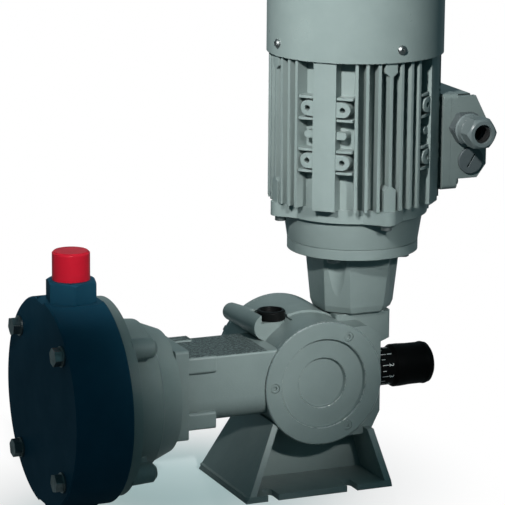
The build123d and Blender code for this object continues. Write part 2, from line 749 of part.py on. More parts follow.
def foot_wall(top_outer, bottom_outer, inward):
    """Leaning side wall of the foot; the points are (x, z) and inward is 1 or -1."""
    (tx, tz), (bx, bz) = top_outer, bottom_outer
    t = FOOT_WALL_T * inward
    profile = make_face(Polyline([(tx, 0, tz), (bx, 0, bz), (bx + t, 0, bz), (tx + t, 0, tz)], close=True))
    wall = Pos(0, FOOT_HALF_D, 0) * extrude(profile, 2 * FOOT_HALF_D, dir=(0, -1, 0))
    return wall & foot_side_view()


def foot_side_view():
    """Outline of the foot seen along X: narrow under the drum and wide at the plate."""
    outline = Polyline([
        (FOOT_LEFT - 1, -FOOT_HALF_D, 0), (FOOT_LEFT - 1, FOOT_HALF_D, 0), (FOOT_LEFT - 1, FOOT_HALF_D, FOOT_PLATE_T),
        (FOOT_LEFT - 1, 40, 62), (FOOT_LEFT - 1, DRUM_FRONT_Y + 1, 62), (FOOT_LEFT - 1, -FOOT_HALF_D, FOOT_PLATE_T),
    ], close=True)
    return extrude(make_face(outline), FOOT_RIGHT - FOOT_LEFT + 2, dir=(1, 0, 0))


def foot():
    """Pedestal: base plate with open notches, two flared walls and a leaning web."""
    plate = block(FOOT_LEFT, FOOT_RIGHT, -FOOT_HALF_D, FOOT_HALF_D, 0, FOOT_PLATE_T)
    plate = fillet(plate.edges().filter_by(Axis.Z), 4)
    pedestal = plate + foot_wall((-42, 56), (FOOT_LEFT, 0), 1) + foot_wall((43, 44), (FOOT_RIGHT, 0), -1)
    web_outline = Polyline([
        (0, FOOT_WEB_Y, 0), (0, FOOT_WEB_REAR_Y, 0), (0, FOOT_WEB_REAR_Y, 50), (0, FOOT_WEB_Y + 9, 50),
    ], close=True)
    web = Pos(FOOT_LEFT, 0, 0) * extrude(make_face(web_outline), FOOT_RIGHT - FOOT_LEFT, dir=(1, 0, 0))
    side_outline = Polyline([(FOOT_LEFT, 0, 0), (FOOT_RIGHT, 0, 0), (43, 0, 44), (-34, 0, 56), (-42, 0, 56)], close=True)
    web &= Pos(0, FOOT_HALF_D, 0) * extrude(make_face(side_outline), 2 * FOOT_HALF_D, dir=(0, -1, 0))
    pedestal += web
    for x in NOTCH_X:
        for side in (-1, 1):
            edge = side * FOOT_HALF_D
            centre = edge - side * (NOTCH_DEPTH - NOTCH_W / 2)
            y0, y1 = sorted((centre, edge + side))
            pedestal -= block(x - NOTCH_W / 2, x + NOTCH_W / 2, y0, y1, -1, FOOT_PLATE_T + 1)
            pedestal -= rod_z(-1, FOOT_PLATE_T + 1, NOTCH_W / 2, x, centre)
    return pedestal


def gear_cavities():
    """Everything that is bored out of the gear housing."""
    cavity = rod_y(DRUM_FRONT_Y, DRUM_STEP_Y, FRONT_BORE_R) + rod_y(DRUM_STEP_Y, DRUM_REAR_Y, REAR_BORE_R)
    cavity += rod_x(CARRIER_REAR_X + BARREL_WALL, 0, SPRING_BORE_R)
    cavity += rod_x(CARRIER_REAR_X, CARRIER_REAR_X + BARREL_WALL, ROD_R + 1)
    worm_r = MODULE * WORM_Q / 2 + MODULE + AIR_GAP
    lower_seat = AXIS_Z - WORM_L / 2 - WORM_LOWER_GAP
    cavity += rod_z(lower_seat, NECK_TOP - TOP_BEARING_COVER, worm_r)
    cavity += rod_z(lower_seat - WORM_LOWER_BEARING_W, lower_seat, WORM_LOWER_BEARING_R + SEAT_FIT)
    cavity += rod_z(NECK_TOP - TOP_BEARING_COVER - WORM_UPPER_BEARING_W, NECK_TOP, WORM_UPPER_BEARING_R + SEAT_FIT)
    cavity += rod_x(20, SIDE_FACE_X, SLEEVE_NUT_R + SEAT_FIT) + rod_x(SIDE_FACE_X, 70, SLEEVE_R + SEAT_FIT)
    cavity += rod_z(AXIS_Z, PLUG_SEAT_Z, PLUG_STEM_R + THREAD_FIT, PLUG_X, PLUG_Y)
    return cavity


TOP_BEARING_COVER = 3.0


def housing_screw_holes():
    """Threaded holes of covers, carrier and adapter in the gear housing."""
    holes = []
    for angle in COVER_SCREW_ANGLES:
        x, z = cover_screw_place(angle, COVER_SCREW_RING)
        holes.append(rod_y(DRUM_FRONT_Y, DRUM_FRONT_Y + 14, COVER_SCREW_R + THREAD_FIT, x, z))
    for angle in REAR_SCREW_ANGLES:
        x, z = cover_screw_place(angle, REAR_SCREW_RING)
        holes.append(rod_y(DRUM_REAR_Y - 14, DRUM_REAR_Y, REAR_SCREW_R + THREAD_FIT, x, z))
    for y, z in joint_screw_places():
        holes.append(rod_x(CARRIER_REAR_X, CARRIER_REAR_X + 16, JOINT_SCREW_R + THREAD_FIT, y, z))
    for x, y in adapter_screw_places():
        holes.append(rod_z(NECK_TOP - 12, NECK_TOP, 3 + THREAD_FIT, x, y))
    return holes


COVER_SCREW_ANGLES = (180.0, 60.0, -60.0)
REAR_SCREW_ANGLES = (30.0, 150.0, 210.0, 330.0)


def cover_screw_place(angle, radius):
    """Point of a bolt circle round the eccentric axis, as (x, z)."""
    return radius * cos(radians(angle)), AXIS_Z + radius * sin(radians(angle))


def adapter_screw_places():
    return [(MOTOR_X + sx * ADAPTER_SCREW, MOTOR_Y + sy * ADAPTER_SCREW) for sx in (-1, 1) for sy in (-1, 1)]


def gear_housing():
    """Gearbox casting with barrel, pedestal foot, filler boss and neck."""
    body = drum() + filler_boss() + side_block() + neck() + barrel() + foot()
    body -= rod_x(THIMBLE_START_X - 1, THIMBLE_START_X + 20, SCALLOP_R)
    body -= rod_y(DRUM_FRONT_Y - 30, DRUM_FRONT_Y, COVER_R + 0.4)
    body -= block(PLUG_X - 13, PLUG_X + 13, PLUG_Y - 13, PLUG_Y + 13, PLUG_SEAT_Z, PLUG_SEAT_Z + 10)
    body -= gear_cavities()
    for hole in housing_screw_holes():
        body -= hole
    body -= rod_y(DRUM_REAR_Y - 14, DRUM_REAR_Y, DRAIN_R, 0, AXIS_Z - REAR_SCREW_RING)
    return body - rod_z(AXIS_Z - REAR_SCREW_RING, AXIS_Z - REAR_BORE_R + 1, 1.5, 0, DRUM_REAR_Y - 12.4)


# ================================================================ covers
COVER_BACK_Y = DRUM_FRONT_Y
COVER_FACE_Y = COVER_BACK_Y - COVER_T
DISH_FLOOR_Y = COVER_FACE_Y + DISH_DEPTH
DISC_FLOOR_Y = DISH_FLOOR_Y + DISC_DEPTH
FRONT_BEARING_Y = DISC_FLOOR_Y + COVER_WALL
REAR_FACE_Y = DRUM_REAR_Y + REAR_COVER_T
REAR_BEARING_Y = MOTOR_Y + WHEEL_W / 2 + 6.0


def side_cover():
    """Round cover with a stepped dish; its hub carries the front bearing."""
    hub_r = FRONT_BEARING_R + BEARING_WALL
    hub_end = FRONT_BEARING_Y + FRONT_BEARING_W
    edge = 0.8
    cover = turned_y([
        (0, DISC_FLOOR_Y), (DISC_R - DISH_DRAFT, DISC_FLOOR_Y), (DISC_R, DISH_FLOOR_Y),
        (DISH_R - DISH_DRAFT, DISH_FLOOR_Y), (DISH_R, COVER_FACE_Y), (COVER_R - edge, COVER_FACE_Y),
        (COVER_R, COVER_FACE_Y + edge), (COVER_R, COVER_BACK_Y), (FRONT_BORE_R - SEAT_FIT, COVER_BACK_Y),
        (FRONT_BORE_R - SEAT_FIT, COVER_BACK_Y + 3), (hub_r, FRONT_BEARING_Y), (hub_r, hub_end), (0, hub_end),
    ])
    cover -= rod_y(FRONT_BEARING_Y, hub_end, FRONT_BEARING_R + SEAT_FIT)
    for angle in COVER_SCREW_ANGLES:
        x, z = cover_screw_place(angle, COVER_SCREW_RING)
        cover -= rod_y(COVER_FACE_Y, COVER_BACK_Y, COVER_SCREW_R + 0.3, x, z)
        cover -= rod_y(COVER_FACE_Y, COVER_FACE_Y + COVER_SCREW_HEAD_H + 0.4, COVER_SCREW_HEAD_R + 0.3, x, z)
    return cover


def side_cover_screws():
    """Socket screws sunk in the side cover."""
    screw = socket_screw(COVER_SCREW_R, 12, COVER_SCREW_HEAD_R, COVER_SCREW_HEAD_H)
    screws = []
    for angle in COVER_SCREW_ANGLES:
        x, z = cover_screw_place(angle, COVER_SCREW_RING)
        screws.append(Pos(x, COVER_FACE_Y + COVER_SCREW_HEAD_H + 0.4, z) * Rot(90, 0, 0) * screw)
    return Compound(screws)


def rear_cover():
    """Rear cover with a long hub for the rear bearing and a domed cap outside."""
    hub_r = REAR_BEARING_R + BEARING_WALL
    edge = 1.0
    cover = turned_y([
        (0, REAR_BEARING_Y), (hub_r, REAR_BEARING_Y), (hub_r, DRUM_REAR_Y - 6), (REAR_BORE_R - SEAT_FIT, DRUM_REAR_Y - 3),
        (REAR_BORE_R - SEAT_FIT, DRUM_REAR_Y), (DRUM_R, DRUM_REAR_Y), (DRUM_R, REAR_FACE_Y - edge),
        (DRUM_R - edge, REAR_FACE_Y), (hub_r + 2, REAR_FACE_Y), (hub_r, REAR_FACE_Y + 2), (hub_r - 6, REAR_FACE_Y + 4),
        (0, REAR_FACE_Y + 4),
    ])
    cover -= rod_y(REAR_BEARING_Y, REAR_BEARING_Y + REAR_BEARING_W, REAR_BEARING_R + SEAT_FIT)
    cover -= rod_y(REAR_BEARING_Y, REAR_FACE_Y - 2, REAR_BEARING_R - 5)
    for angle in REAR_SCREW_ANGLES:
        x, z = cover_screw_place(angle, REAR_SCREW_RING)
        cover -= rod_y(DRUM_REAR_Y, REAR_FACE_Y, REAR_SCREW_R + 0.3, x, z)
    return cover - rod_y(DRUM_REAR_Y, REAR_FACE_Y, 6.6, 0, AXIS_Z - REAR_SCREW_RING)


def rear_cover_screws():
    """Hex screws of the rear cover."""
    screw = hex_bolt(REAR_SCREW_R, 16, 6.5, 3)
    screws = []
    for angle in REAR_SCREW_ANGLES:
        x, z = cover_screw_place(angle, REAR_SCREW_RING)
        screws.append(Pos(x, REAR_FACE_Y, z) * Rot(-90, 0, 0) * screw)
    return Compound(screws)


def drain_plug():
    """Oil drain plug through the rim of the rear cover."""
    plug = hex_bolt(DRAIN_R - THREAD_FIT, 12, 11, 7)
    plug += Cylinder(6.3, 0.8, align=CENTRED)
    return Pos(0, DRUM_REAR_Y, AXIS_Z - REAR_SCREW_RING) * Rot(-90, 0, 0) * plug


def filler_plug():
    """Vented filler plug with a ring-shaped cap and a threaded stem."""
    cap = turned([
        (0, 0.1), (PLUG_R - 0.6, 0.1), (PLUG_R, 0.7), (PLUG_R, PLUG_H - 1), (PLUG_R - 1, PLUG_H), (PLUG_R - 2.6, PLUG_H),
        (PLUG_R - 3.4, PLUG_H - 4), (0, PLUG_H - 4),
    ])
    stem = Pos(0, 0, -PLUG_STEM_L) * Cylinder(PLUG_STEM_R, PLUG_STEM_L + 0.2, align=CENTRED)
    return Pos(PLUG_X, PLUG_Y, PLUG_SEAT_Z) * (cap + stem)


# ================================================================ drive
RING_OUT_R = ECC_DISC_R + RING_T
SWEEP_R = RING_OUT_R + ECCENTRICITY + REST_GAP
YOKE_REAR_X = SWEEP_R
YOKE_FRONT_X = -(SWEEP_R + STROKE)
COLLAR_X = YOKE_FRONT_X - YOKE_END - COLLAR_T
SPRING_END_X = CARRIER_REAR_X + BARREL_WALL


def push_rod():
    """Rod with the spring collar at the yoke and a stepped tip for the diaphragm."""
    tip_end = DIAPHRAGM_FRONT_X - CLAMP_DISC_T + 1.4
    rod = rod_x(tip_end, HEAD_REAR_X + SUPPORT_T, ROD_TIP_R)
    rod += rod_x(HEAD_REAR_X + SUPPORT_T, COLLAR_X, ROD_R)
    return rod + rod_x(COLLAR_X, COLLAR_X + COLLAR_T, SPRING_R + SPRING_WIRE_R + 1)


def yoke():
    """Closed frame round the eccentric, cut from one plate."""
    inner_h = SWEEP_R + 0.3
    x0, x1 = YOKE_FRONT_X - YOKE_END, YOKE_REAR_X + YOKE_END + 1
    outer_h = inner_h + YOKE_BAR
    frame = block(x0, x1, -YOKE_HALF_W, YOKE_HALF_W, AXIS_Z - outer_h, AXIS_Z + outer_h)
    frame = fillet(frame.edges().filter_by(Axis.Y), YOKE_CORNER)
    window = block(YOKE_FRONT_X, YOKE_REAR_X, -YOKE_HALF_W, YOKE_HALF_W, AXIS_Z - inner_h, AXIS_Z + inner_h)
    window = fillet(window.edges().filter_by(Axis.Y), YOKE_CORNER - 6)
    return frame - window


def return_spring():
    """Compression spring between the barrel wall and the collar of the push rod."""
    length = COLLAR_X - SPRING_END_X - 2 * SPRING_WIRE_R
    path = Helix(length / SPRING_TURNS, length, SPRING_R)
    section = Plane(path @ 0, z_dir=path % 0) * Circle(SPRING_WIRE_R)
    coil = sweep(section, path, is_frenet=True)
    return Pos(SPRING_END_X + SPRING_WIRE_R, 0, AXIS_Z) * Rot(0, 90, 0) * coil


def eccentric_shaft():
    """Gearbox shaft turned in one piece with its eccentric, shown at front dead centre."""
    front = FRONT_BEARING_Y + 0.8
    rear = REAR_BEARING_Y + REAR_BEARING_W + 1
    wheel_y = MOTOR_Y - WHEEL_W / 2 - 1
    shaft = rod_y(front, -ECC_HALF_W - 0.5, SHAFT_FRONT_R) + rod_y(-ECC_HALF_W - 0.5, wheel_y, SHAFT_MID_R - 2)
    shaft += rod_y(-ECC_HALF_W, ECC_HALF_W, ECC_DISC_R, -ECCENTRICITY)
    return shaft + rod_y(wheel_y - 3, wheel_y, SHAFT_REAR_R + 3) + rod_y(wheel_y, rear, SHAFT_REAR_R)


def eccentric_ring():
    """Needle bearing ring on the eccentric."""
    ring = turned_y([
        (ECC_DISC_R + SEAT_FIT, -7), (RING_OUT_R - 0.8, -7), (RING_OUT_R, -6.2), (RING_OUT_R, 6.2),
        (RING_OUT_R - 0.8, 7), (ECC_DISC_R + SEAT_FIT, 7),
    ], -ECCENTRICITY)
    return ring


def eccentric_bearings():
    front = Pos(0, FRONT_BEARING_Y, AXIS_Z) * Rot(-90, 0, 0) * ball_bearing(
        FRONT_BEARING_R, SHAFT_FRONT_R + RUN_FIT, FRONT_BEARING_W)
    rear = Pos(0, REAR_BEARING_Y, AXIS_Z) * Rot(-90, 0, 0) * ball_bearing(
        REAR_BEARING_R, SHAFT_REAR_R + RUN_FIT, REAR_BEARING_W)
    return Compound([front, rear])


WORM_PITCH_R = MODULE * WORM_Q / 2
WHEEL_PITCH_R = MODULE * WHEEL_TEETH / 2
WORM_LEAD = pi * MODULE


def wheel_outline():
    """Toothed outline in the XZ plane, with straight flanks and a tooth gap at +X."""
    root_r = WHEEL_PITCH_R - 1.25 * MODULE
    tip_r = WHEEL_PITCH_R + MODULE
    flank = tan(radians(20))
    pitch_half = WORM_LEAD / 4 - TOOTH_THIN
    points = []
    for i in range(WHEEL_TEETH):
        middle = 2 * pi * (i + 0.5) / WHEEL_TEETH
        root_half = (pitch_half + 1.25 * MODULE * flank) / root_r
        tip_half = (pitch_half - MODULE * flank) / tip_r
        for radius, offset in ((root_r, -root_half), (tip_r, -tip_half), (tip_r, tip_half), (root_r, root_half)):
            points.append((radius * cos(middle + offset), 0, radius * sin(middle + offset)))
    return Polyline(points, close=True)


def worm_wheel():
    """Bronze wheel whose teeth follow the lead angle of the worm."""
    twist = degrees(WHEEL_W * WORM_LEAD / (2 * pi * WORM_PITCH_R) / WHEEL_PITCH_R)
    sections = []
    for share in (-0.5, 0.5):
        face = Rot(0, share * twist, 0) * make_face(wheel_outline())
        sections.append(Pos(0, share * WHEEL_W, 0) * face)
    wheel = loft(sections, ruled=True)
    web_r = WHEEL_PITCH_R - 8
    for side in (-1, 1):
        y0, y1 = sorted((side * 2.5, side * WHEEL_W))
        wheel -= rod_y(y0, y1, web_r, 0, 0) - rod_y(y0, y1, SHAFT_REAR_R + 6, 0, 0)
    wheel -= rod_y(-WHEEL_W, WHEEL_W, SHAFT_REAR_R + SEAT_FIT, 0, 0)
    return Pos(0, MOTOR_Y, AXIS_Z) * wheel


def worm_thread():
    """Single-start thread with a straight-sided section."""
    root_r = WORM_PITCH_R - 1.25 * MODULE
    tip_r = WORM_PITCH_R + MODULE
    flank = tan(radians(20))
    half = WORM_LEAD / 4 - TOOTH_THIN / 2
    foot_half = half + 1.25 * MODULE * flank + 0.1
    tip_half = half - MODULE * flank
    path = Helix(WORM_LEAD, WORM_TURNS * WORM_LEAD, WORM_PITCH_R)
    section = make_face(Polyline([
        (root_r - 0.3, 0, -foot_half), (tip_r, 0, -tip_half), (tip_r, 0, tip_half), (root_r - 0.3, 0, foot_half),
    ], close=True))
    return sweep(section, path, is_frenet=True)


def worm_shaft():
    """Worm, its two journals and the stub for the coupling."""
    root_r = WORM_PITCH_R - 1.25 * MODULE
    low = AXIS_Z - WORM_L / 2
    high = AXIS_Z + WORM_L / 2
    lower_end = low - WORM_LOWER_GAP - WORM_LOWER_BEARING_W + 0.5
    core = rod_z(low - 6, high + 6, root_r)
    core += rod_z(lower_end, low - 5.5, WORM_LOWER_R - 1)
    core += rod_z(high + 2, NECK_TOP + 4, WORM_UPPER_R)
    core += rod_z(NECK_TOP + 4, COUPLING_BOTTOM + 13, WORM_UPPER_R)
    thread = Pos(MOTOR_X, MOTOR_Y, AXIS_Z - WORM_TURNS / 2 * WORM_LEAD) * worm_thread()
    return core + thread


def worm_bearings():
    lower_z = AXIS_Z - WORM_L / 2 - WORM_LOWER_GAP - WORM_LOWER_BEARING_W
    upper_z = NECK_TOP - TOP_BEARING_COVER - WORM_UPPER_BEARING_W
    lower = Pos(MOTOR_X, MOTOR_Y, lower_z) * ball_bearing(
        WORM_LOWER_BEARING_R, WORM_LOWER_R - 1 + RUN_FIT, WORM_LOWER_BEARING_W)
    upper = Pos(MOTOR_X, MOTOR_Y, upper_z) * ball_bearing(
        WORM_UPPER_BEARING_R, WORM_UPPER_R + RUN_FIT, WORM_UPPER_BEARING_W)
    return Compound([lower, upper])


def shaft_coupling():
    """Rigid sleeve coupling with two grub screw holes."""
    sleeve = rod_z(COUPLING_BOTTOM, COUPLING_TOP, COUPLING_R)
    sleeve = chamfer(sleeve.edges().filter_by(GeomType.CIRCLE), 1)
    middle = (COUPLING_BOTTOM + COUPLING_TOP) / 2
    sleeve -= rod_z(COUPLING_BOTTOM, middle - 1, WORM_UPPER_R + SEAT_FIT)
    sleeve -= rod_z(middle - 1, COUPLING_TOP, MOTOR_SHAFT_R + SEAT_FIT)
    for z in (COUPLING_BOTTOM + 7, COUPLING_TOP - 7):
        sleeve -= rod_x(MOTOR_X, MOTOR_X + COUPLING_R + 1, 2, MOTOR_Y, z)
    return sleeve


# ================================================================ stroke knob
PIN_X = YOKE_REAR_X + YOKE_END + 1 + REST_GAP


def stop_pin():
    """Hardened button that stops the yoke; it slides but doesn't turn."""
    pin = turned_x([(0, PIN_X), (PIN_R - 1.5, PIN_X), (PIN_R, PIN_X + 1.5), (PIN_R, PIN_X + PIN_L), (0, PIN_X + PIN_L)])
    return pin - rod_x(PIN_X + 4, PIN_X + PIN_L, SCREW_R - 1 + RUN_FIT)


def adjusting_screw():
    """Fine-thread screw that turns with the knob and pushes the stop pin."""
    shoulder = PIN_X + PIN_L + REST_GAP
    tip = turned_x([(0, PIN_X + 4 + REST_GAP), (SCREW_R - 1, PIN_X + 4 + REST_GAP), (SCREW_R - 1, shoulder), (0, shoulder)])
    return tip + rod_x(shoulder, GRIP_END_X - 6, SCREW_R)


def scale_sleeve():
    """Fixed sleeve: a threaded nut pressed in the housing and a graduated barrel outside."""
    sleeve = turned_x([
        (PIN_R + RUN_FIT, NUT_START_X), (SLEEVE_NUT_R, NUT_START_X), (SLEEVE_NUT_R, SIDE_FACE_X), (SLEEVE_R, SIDE_FACE_X),
        (SLEEVE_R, SLEEVE_END_X - 1), (SLEEVE_R - 1, SLEEVE_END_X), (SCREW_R + RUN_FIT, SLEEVE_END_X),
        (SCREW_R + RUN_FIT, THREAD_START_X), (PIN_R + RUN_FIT, THREAD_START_X),
    ])
    return sleeve - turned_x([
        (SCREW_R + 0.5, SIDE_FACE_X + 8), (SLEEVE_R - 2.5, SIDE_FACE_X + 8), (SLEEVE_R - 2.5, SLEEVE_END_X),
        (SCREW_R + 0.5, SLEEVE_END_X),
    ])


def stroke_knob():
    """Knob with a thin graduated thimble, a bevelled step and a rounded grip."""
    body = turned_x([
        (0, KNOB_WEB_X), (THIMBLE_BORE_R, KNOB_WEB_X), (THIMBLE_BORE_R, THIMBLE_START_X),
        (THIMBLE_R - 0.8, THIMBLE_START_X), (THIMBLE_R, THIMBLE_START_X + 0.8), (THIMBLE_R, GRIP_START_X),
        (GRIP_R, GRIP_START_X + 3), (GRIP_R, GRIP_START_X + 9), (GRIP_R - 0.5, GRIP_START_X + 17),
        (GRIP_R - 0.5, GRIP_END_X - 9), (GRIP_R, GRIP_END_X - 6), (GRIP_R - 1, GRIP_END_X - 2.5),
        (GRIP_R - 3.5, GRIP_END_X - 0.6), (GRIP_R - 6, GRIP_END_X), (0, GRIP_END_X),
    ])
    return body - rod_x(KNOB_WEB_X, GRIP_END_X - 6 + 0.1, SCREW_R + SEAT_FIT)


# ================================================================ motor adapter
def tower_section(half):
    """Square with cut corners."""
    inner = half - TOWER_CORNER
    return make_face(Polyline([
        (half, -inner), (half, inner), (inner, half), (-inner, half),
        (-half, inner), (-half, -inner), (-inner, -half), (inner, -half),
    ], close=True))


def tower():
    """Tapered octagonal tower with a rounded lower rim."""
    bottom = Plane((MOTOR_X, MOTOR_Y, NECK_TOP + 6)) * tower_section(TOWER_BOTTOM_HALF)
    top = Plane((MOTOR_X, MOTOR_Y, RING_BOTTOM)) * tower_section(TOWER_TOP_HALF)
    rim = Plane((MOTOR_X, MOTOR_Y, NECK_TOP + 1)) * tower_section(TOWER_BOTTOM_HALF - 1.5)
    sole = Plane((MOTOR_X, MOTOR_Y, NECK_TOP)) * tower_section(TOWER_BOTTOM_HALF - 4)
    return loft([bottom, top], ruled=True) + loft([rim, bottom], ruled=True) + loft([sole, rim], ruled=True)


def motor_adapter():
    """Cast tower with a round flange for the motor; its corners are relieved for the flange bolts."""
    body = tower() + rod_z(RING_BOTTOM, RING_TOP, RING_R)
    inner = block(
        MOTOR_X - TOWER_BORE_HALF, MOTOR_X + TOWER_BORE_HALF, MOTOR_Y - TOWER_BORE_HALF, MOTOR_Y + TOWER_BORE_HALF,
        NECK_TOP + TOWER_FLOOR, RING_TOP)
    body -= fillet(inner.edges().filter_by(Axis.Z), 8)
    body -= rod_z(NECK_TOP, RING_TOP, WORM_UPPER_BEARING_R + 0.5)
    body -= rod_z(RING_TOP - SPIGOT_FLANGE_H - 0.4, RING_TOP, SPIGOT_FLANGE_R + SEAT_FIT)
    for angle in ring_angles(4):
        x, y = on_motor_ring(FLANGE_BOLT_RING, angle)
        body -= rod_z(RING_BOTTOM, RING_TOP, 3 + SCREW_FIT, x, y)
        relief_x, relief_y = on_motor_ring(FLANGE_BOLT_RING + 1.5, angle)
        body -= rod_z(NECK_TOP + 6, RING_BOTTOM, RELIEF_R, relief_x, relief_y)
    for x, y in adapter_screw_places():
        body -= rod_z(NECK_TOP, NECK_TOP + TOWER_FLOOR, 3 + SCREW_FIT, x, y)
    return body


def adapter_screws():
    """Socket screws inside the tower."""
    screw = socket_screw(3, TOWER_FLOOR + 10, 5, 6)
    return Compound([Pos(x, y, NECK_TOP + TOWER_FLOOR) * screw for x, y in adapter_screw_places()])


def motor_flange_bolts():
    """Hex bolts from under the adapter flange into the motor shield."""
    bolt = hex_bolt(3, RING_TOP - RING_BOTTOM + 9, 10, 4)
    bolts = []
    for angle in ring_angles(4):
        x, y = on_motor_ring(FLANGE_BOLT_RING, angle)
        bolts.append(Pos(x, y, RING_BOTTOM) * Rot(180, 0, 0) * Rot(0, 0, angle) * bolt)
    return Compound(bolts)


# ================================================================ motor
def lug_plate(z0, z1):
    """Round plate with four rounded lugs on the X and Y axes of the motor."""
    corner = sqrt(2) * LUG_RING
    square = Rectangle(corner + 2 * LUG_R, corner + 2 * LUG_R)
    outline = Rot(0, 0, 45) * fillet(square.vertices(), LUG_R) + Circle(LUG_PLATE_R)
    return Pos(MOTOR_X, MOTOR_Y, z0) * extrude(outline, z1 - z0)


def motor_front_shield():
    """Front end shield: flange spigot, tapered drum and lugged plate."""
    body = turned_z([
        (0, RING_TOP), (RING_R - 0.5, RING_TOP), (RING_R, RING_TOP + 0.5), (SHIELD_TOP_R, LUG_PLATE_BOTTOM),
        (0, LUG_PLATE_BOTTOM),
    ])
    body += rod_z(RING_TOP - SPIGOT_FLANGE_H, RING_TOP, SPIGOT_FLANGE_R)
    body += lug_plate(LUG_PLATE_BOTTOM, BODY_BOTTOM)
    hollow_floor = RING_TOP + 7
    seat_top = hollow_floor + MOTOR_BEARING_W + 2
    body -= rod_z(hollow_floor, BODY_BOTTOM, BODY_BORE_R - 6) - rod_z(hollow_floor, seat_top, MOTOR_BEARING_R + 5)
    body -= rod_z(hollow_floor, seat_top, MOTOR_BEARING_R + SEAT_FIT)
    body -= rod_z(RING_TOP - SPIGOT_FLANGE_H, hollow_floor, MOTOR_SHAFT_R + AIR_GAP)
    for angle in ring_angles(4):
        x, y = on_motor_ring(FLANGE_BOLT_RING, angle)
        body -= rod_z(RING_TOP, RING_TOP + 10, 3 + THREAD_FIT, x, y)
    for angle in ring_angles(4, 0):
        x, y = on_motor_ring(LUG_RING, angle)
        body -= rod_z(LUG_PLATE_BOTTOM, BODY_BOTTOM, 2.5 + 0.3, x, y)
    return body


def front_shield_bolts():
    """Cylinder head screws under the shield lugs."""
    screw = socket_screw(2.5, BOX_Z0 - LUG_PLATE_BOTTOM - 1, 4.5, 4.5)
    screws = []
    for angle in ring_angles(4, 0):
        x, y = on_motor_ring(LUG_RING, angle)
        screws.append(Pos(x, y, LUG_PLATE_BOTTOM) * Rot(180, 0, 0) * screw)
    return Compound(screws)


def cooling_fins():
    """One outline of core and fins, extruded over the body."""
    outline = Circle(CORE_R)
    for i in range(FIN_COUNT):
        angle = 360.0 * i / FIN_COUNT
        if min(abs(angle - pad) for pad in PAD_ANGLES) < PAD_ZONE:
            continue
        outline += Rot(0, 0, angle) * Pos((CORE_R + FIN_R) / 2 - 1, 0) * Rectangle(FIN_R - CORE_R + 2, FIN_T)
    fins = extrude(outline, BODY_TOP - BODY_BOTTOM - 2)
    return Pos(MOTOR_X, MOTOR_Y, BODY_BOTTOM) * fins


def tie_lug(angle, low):
    """Screw lug between the fins, with a V-shaped end."""
    outer = MOTOR_X + FIN_R
    inner = MOTOR_X + CORE_R - 2
    half = TIE_LUG_W / 2
    if low:
        tip = BODY_BOTTOM + TIE_LUG_L
        outline = [(BODY_BOTTOM, -half), (BODY_BOTTOM, half), (tip - 4, half), (tip, 0), (tip - 4, -half)]
    else:
        tip = BODY_TOP - TIE_LUG_L
        outline = [(BODY_TOP - 2, -half), (BODY_TOP - 2, half), (tip + 4, half), (tip, 0), (tip + 4, -half)]
    face = make_face(Polyline([(outer, MOTOR_Y + y, z) for z, y in outline], close=True))
    return turned_about_motor(extrude(face, outer - inner, dir=(-1, 0, 0)), angle)


def foot_pad(angle):
    """Unused mounting pad: a smooth raised bar, and beside it drilled D-shaped bosses between two ribs."""
    outer = MOTOR_X + FIN_R
    inner = MOTOR_X + CORE_R - 3
    low, high = BODY_BOTTOM, BODY_TOP - 2
    pad = block(inner, outer, MOTOR_Y - PAD_HALF_W, MOTOR_Y + PAD_HALF_W, low, high)
    for side in (-1, 1):
        rib = block(inner, outer, MOTOR_Y - FIN_T / 2, MOTOR_Y + FIN_T / 2, low, high)
        pad += turned_about_motor(rib, side * PAD_ZONE)
        pad += pad_bosses(side, inner, outer)
    return turned_about_motor(pad, angle)


def pad_bosses(side, inner, outer):
    """Two drilled bosses, their cross bars and a small middle boss on one side of a pad."""
    y = MOTOR_Y + side * PAD_BOSS_Y
    near, far = sorted((MOTOR_Y + side * (PAD_HALF_W - 1), y))
    shelf_y0, shelf_y1 = sorted((MOTOR_Y + side * (PAD_HALF_W - 1), MOTOR_Y + side * PAD_EDGE_Y))
    cluster = block(inner, outer - 3.5, near, far, PAD_CENTRE_Z - 3, PAD_CENTRE_Z + 3)
    cluster += rod_x(inner, outer - 3.5, 3, y, PAD_CENTRE_Z)
    for z in (PAD_CENTRE_Z - PAD_HOLE_Z / 2, PAD_CENTRE_Z + PAD_HOLE_Z / 2):
        cluster += block(inner, outer - 1.5, near, far, z - PAD_BOSS_R, z + PAD_BOSS_R)
        cluster += rod_x(inner, outer - 1.5, PAD_BOSS_R, y, z)
        for bar in (z - PAD_BOSS_R - 3.5, z + PAD_BOSS_R + 1.5):
            cluster += block(inner, outer - 2.5, shelf_y0, shelf_y1, bar, bar + 2)
    for z in (PAD_CENTRE_Z - PAD_HOLE_Z / 2, PAD_CENTRE_Z + PAD_HOLE_Z / 2):
        cluster -= rod_x(outer - 12, outer, 2.2, y, z)
    return cluster


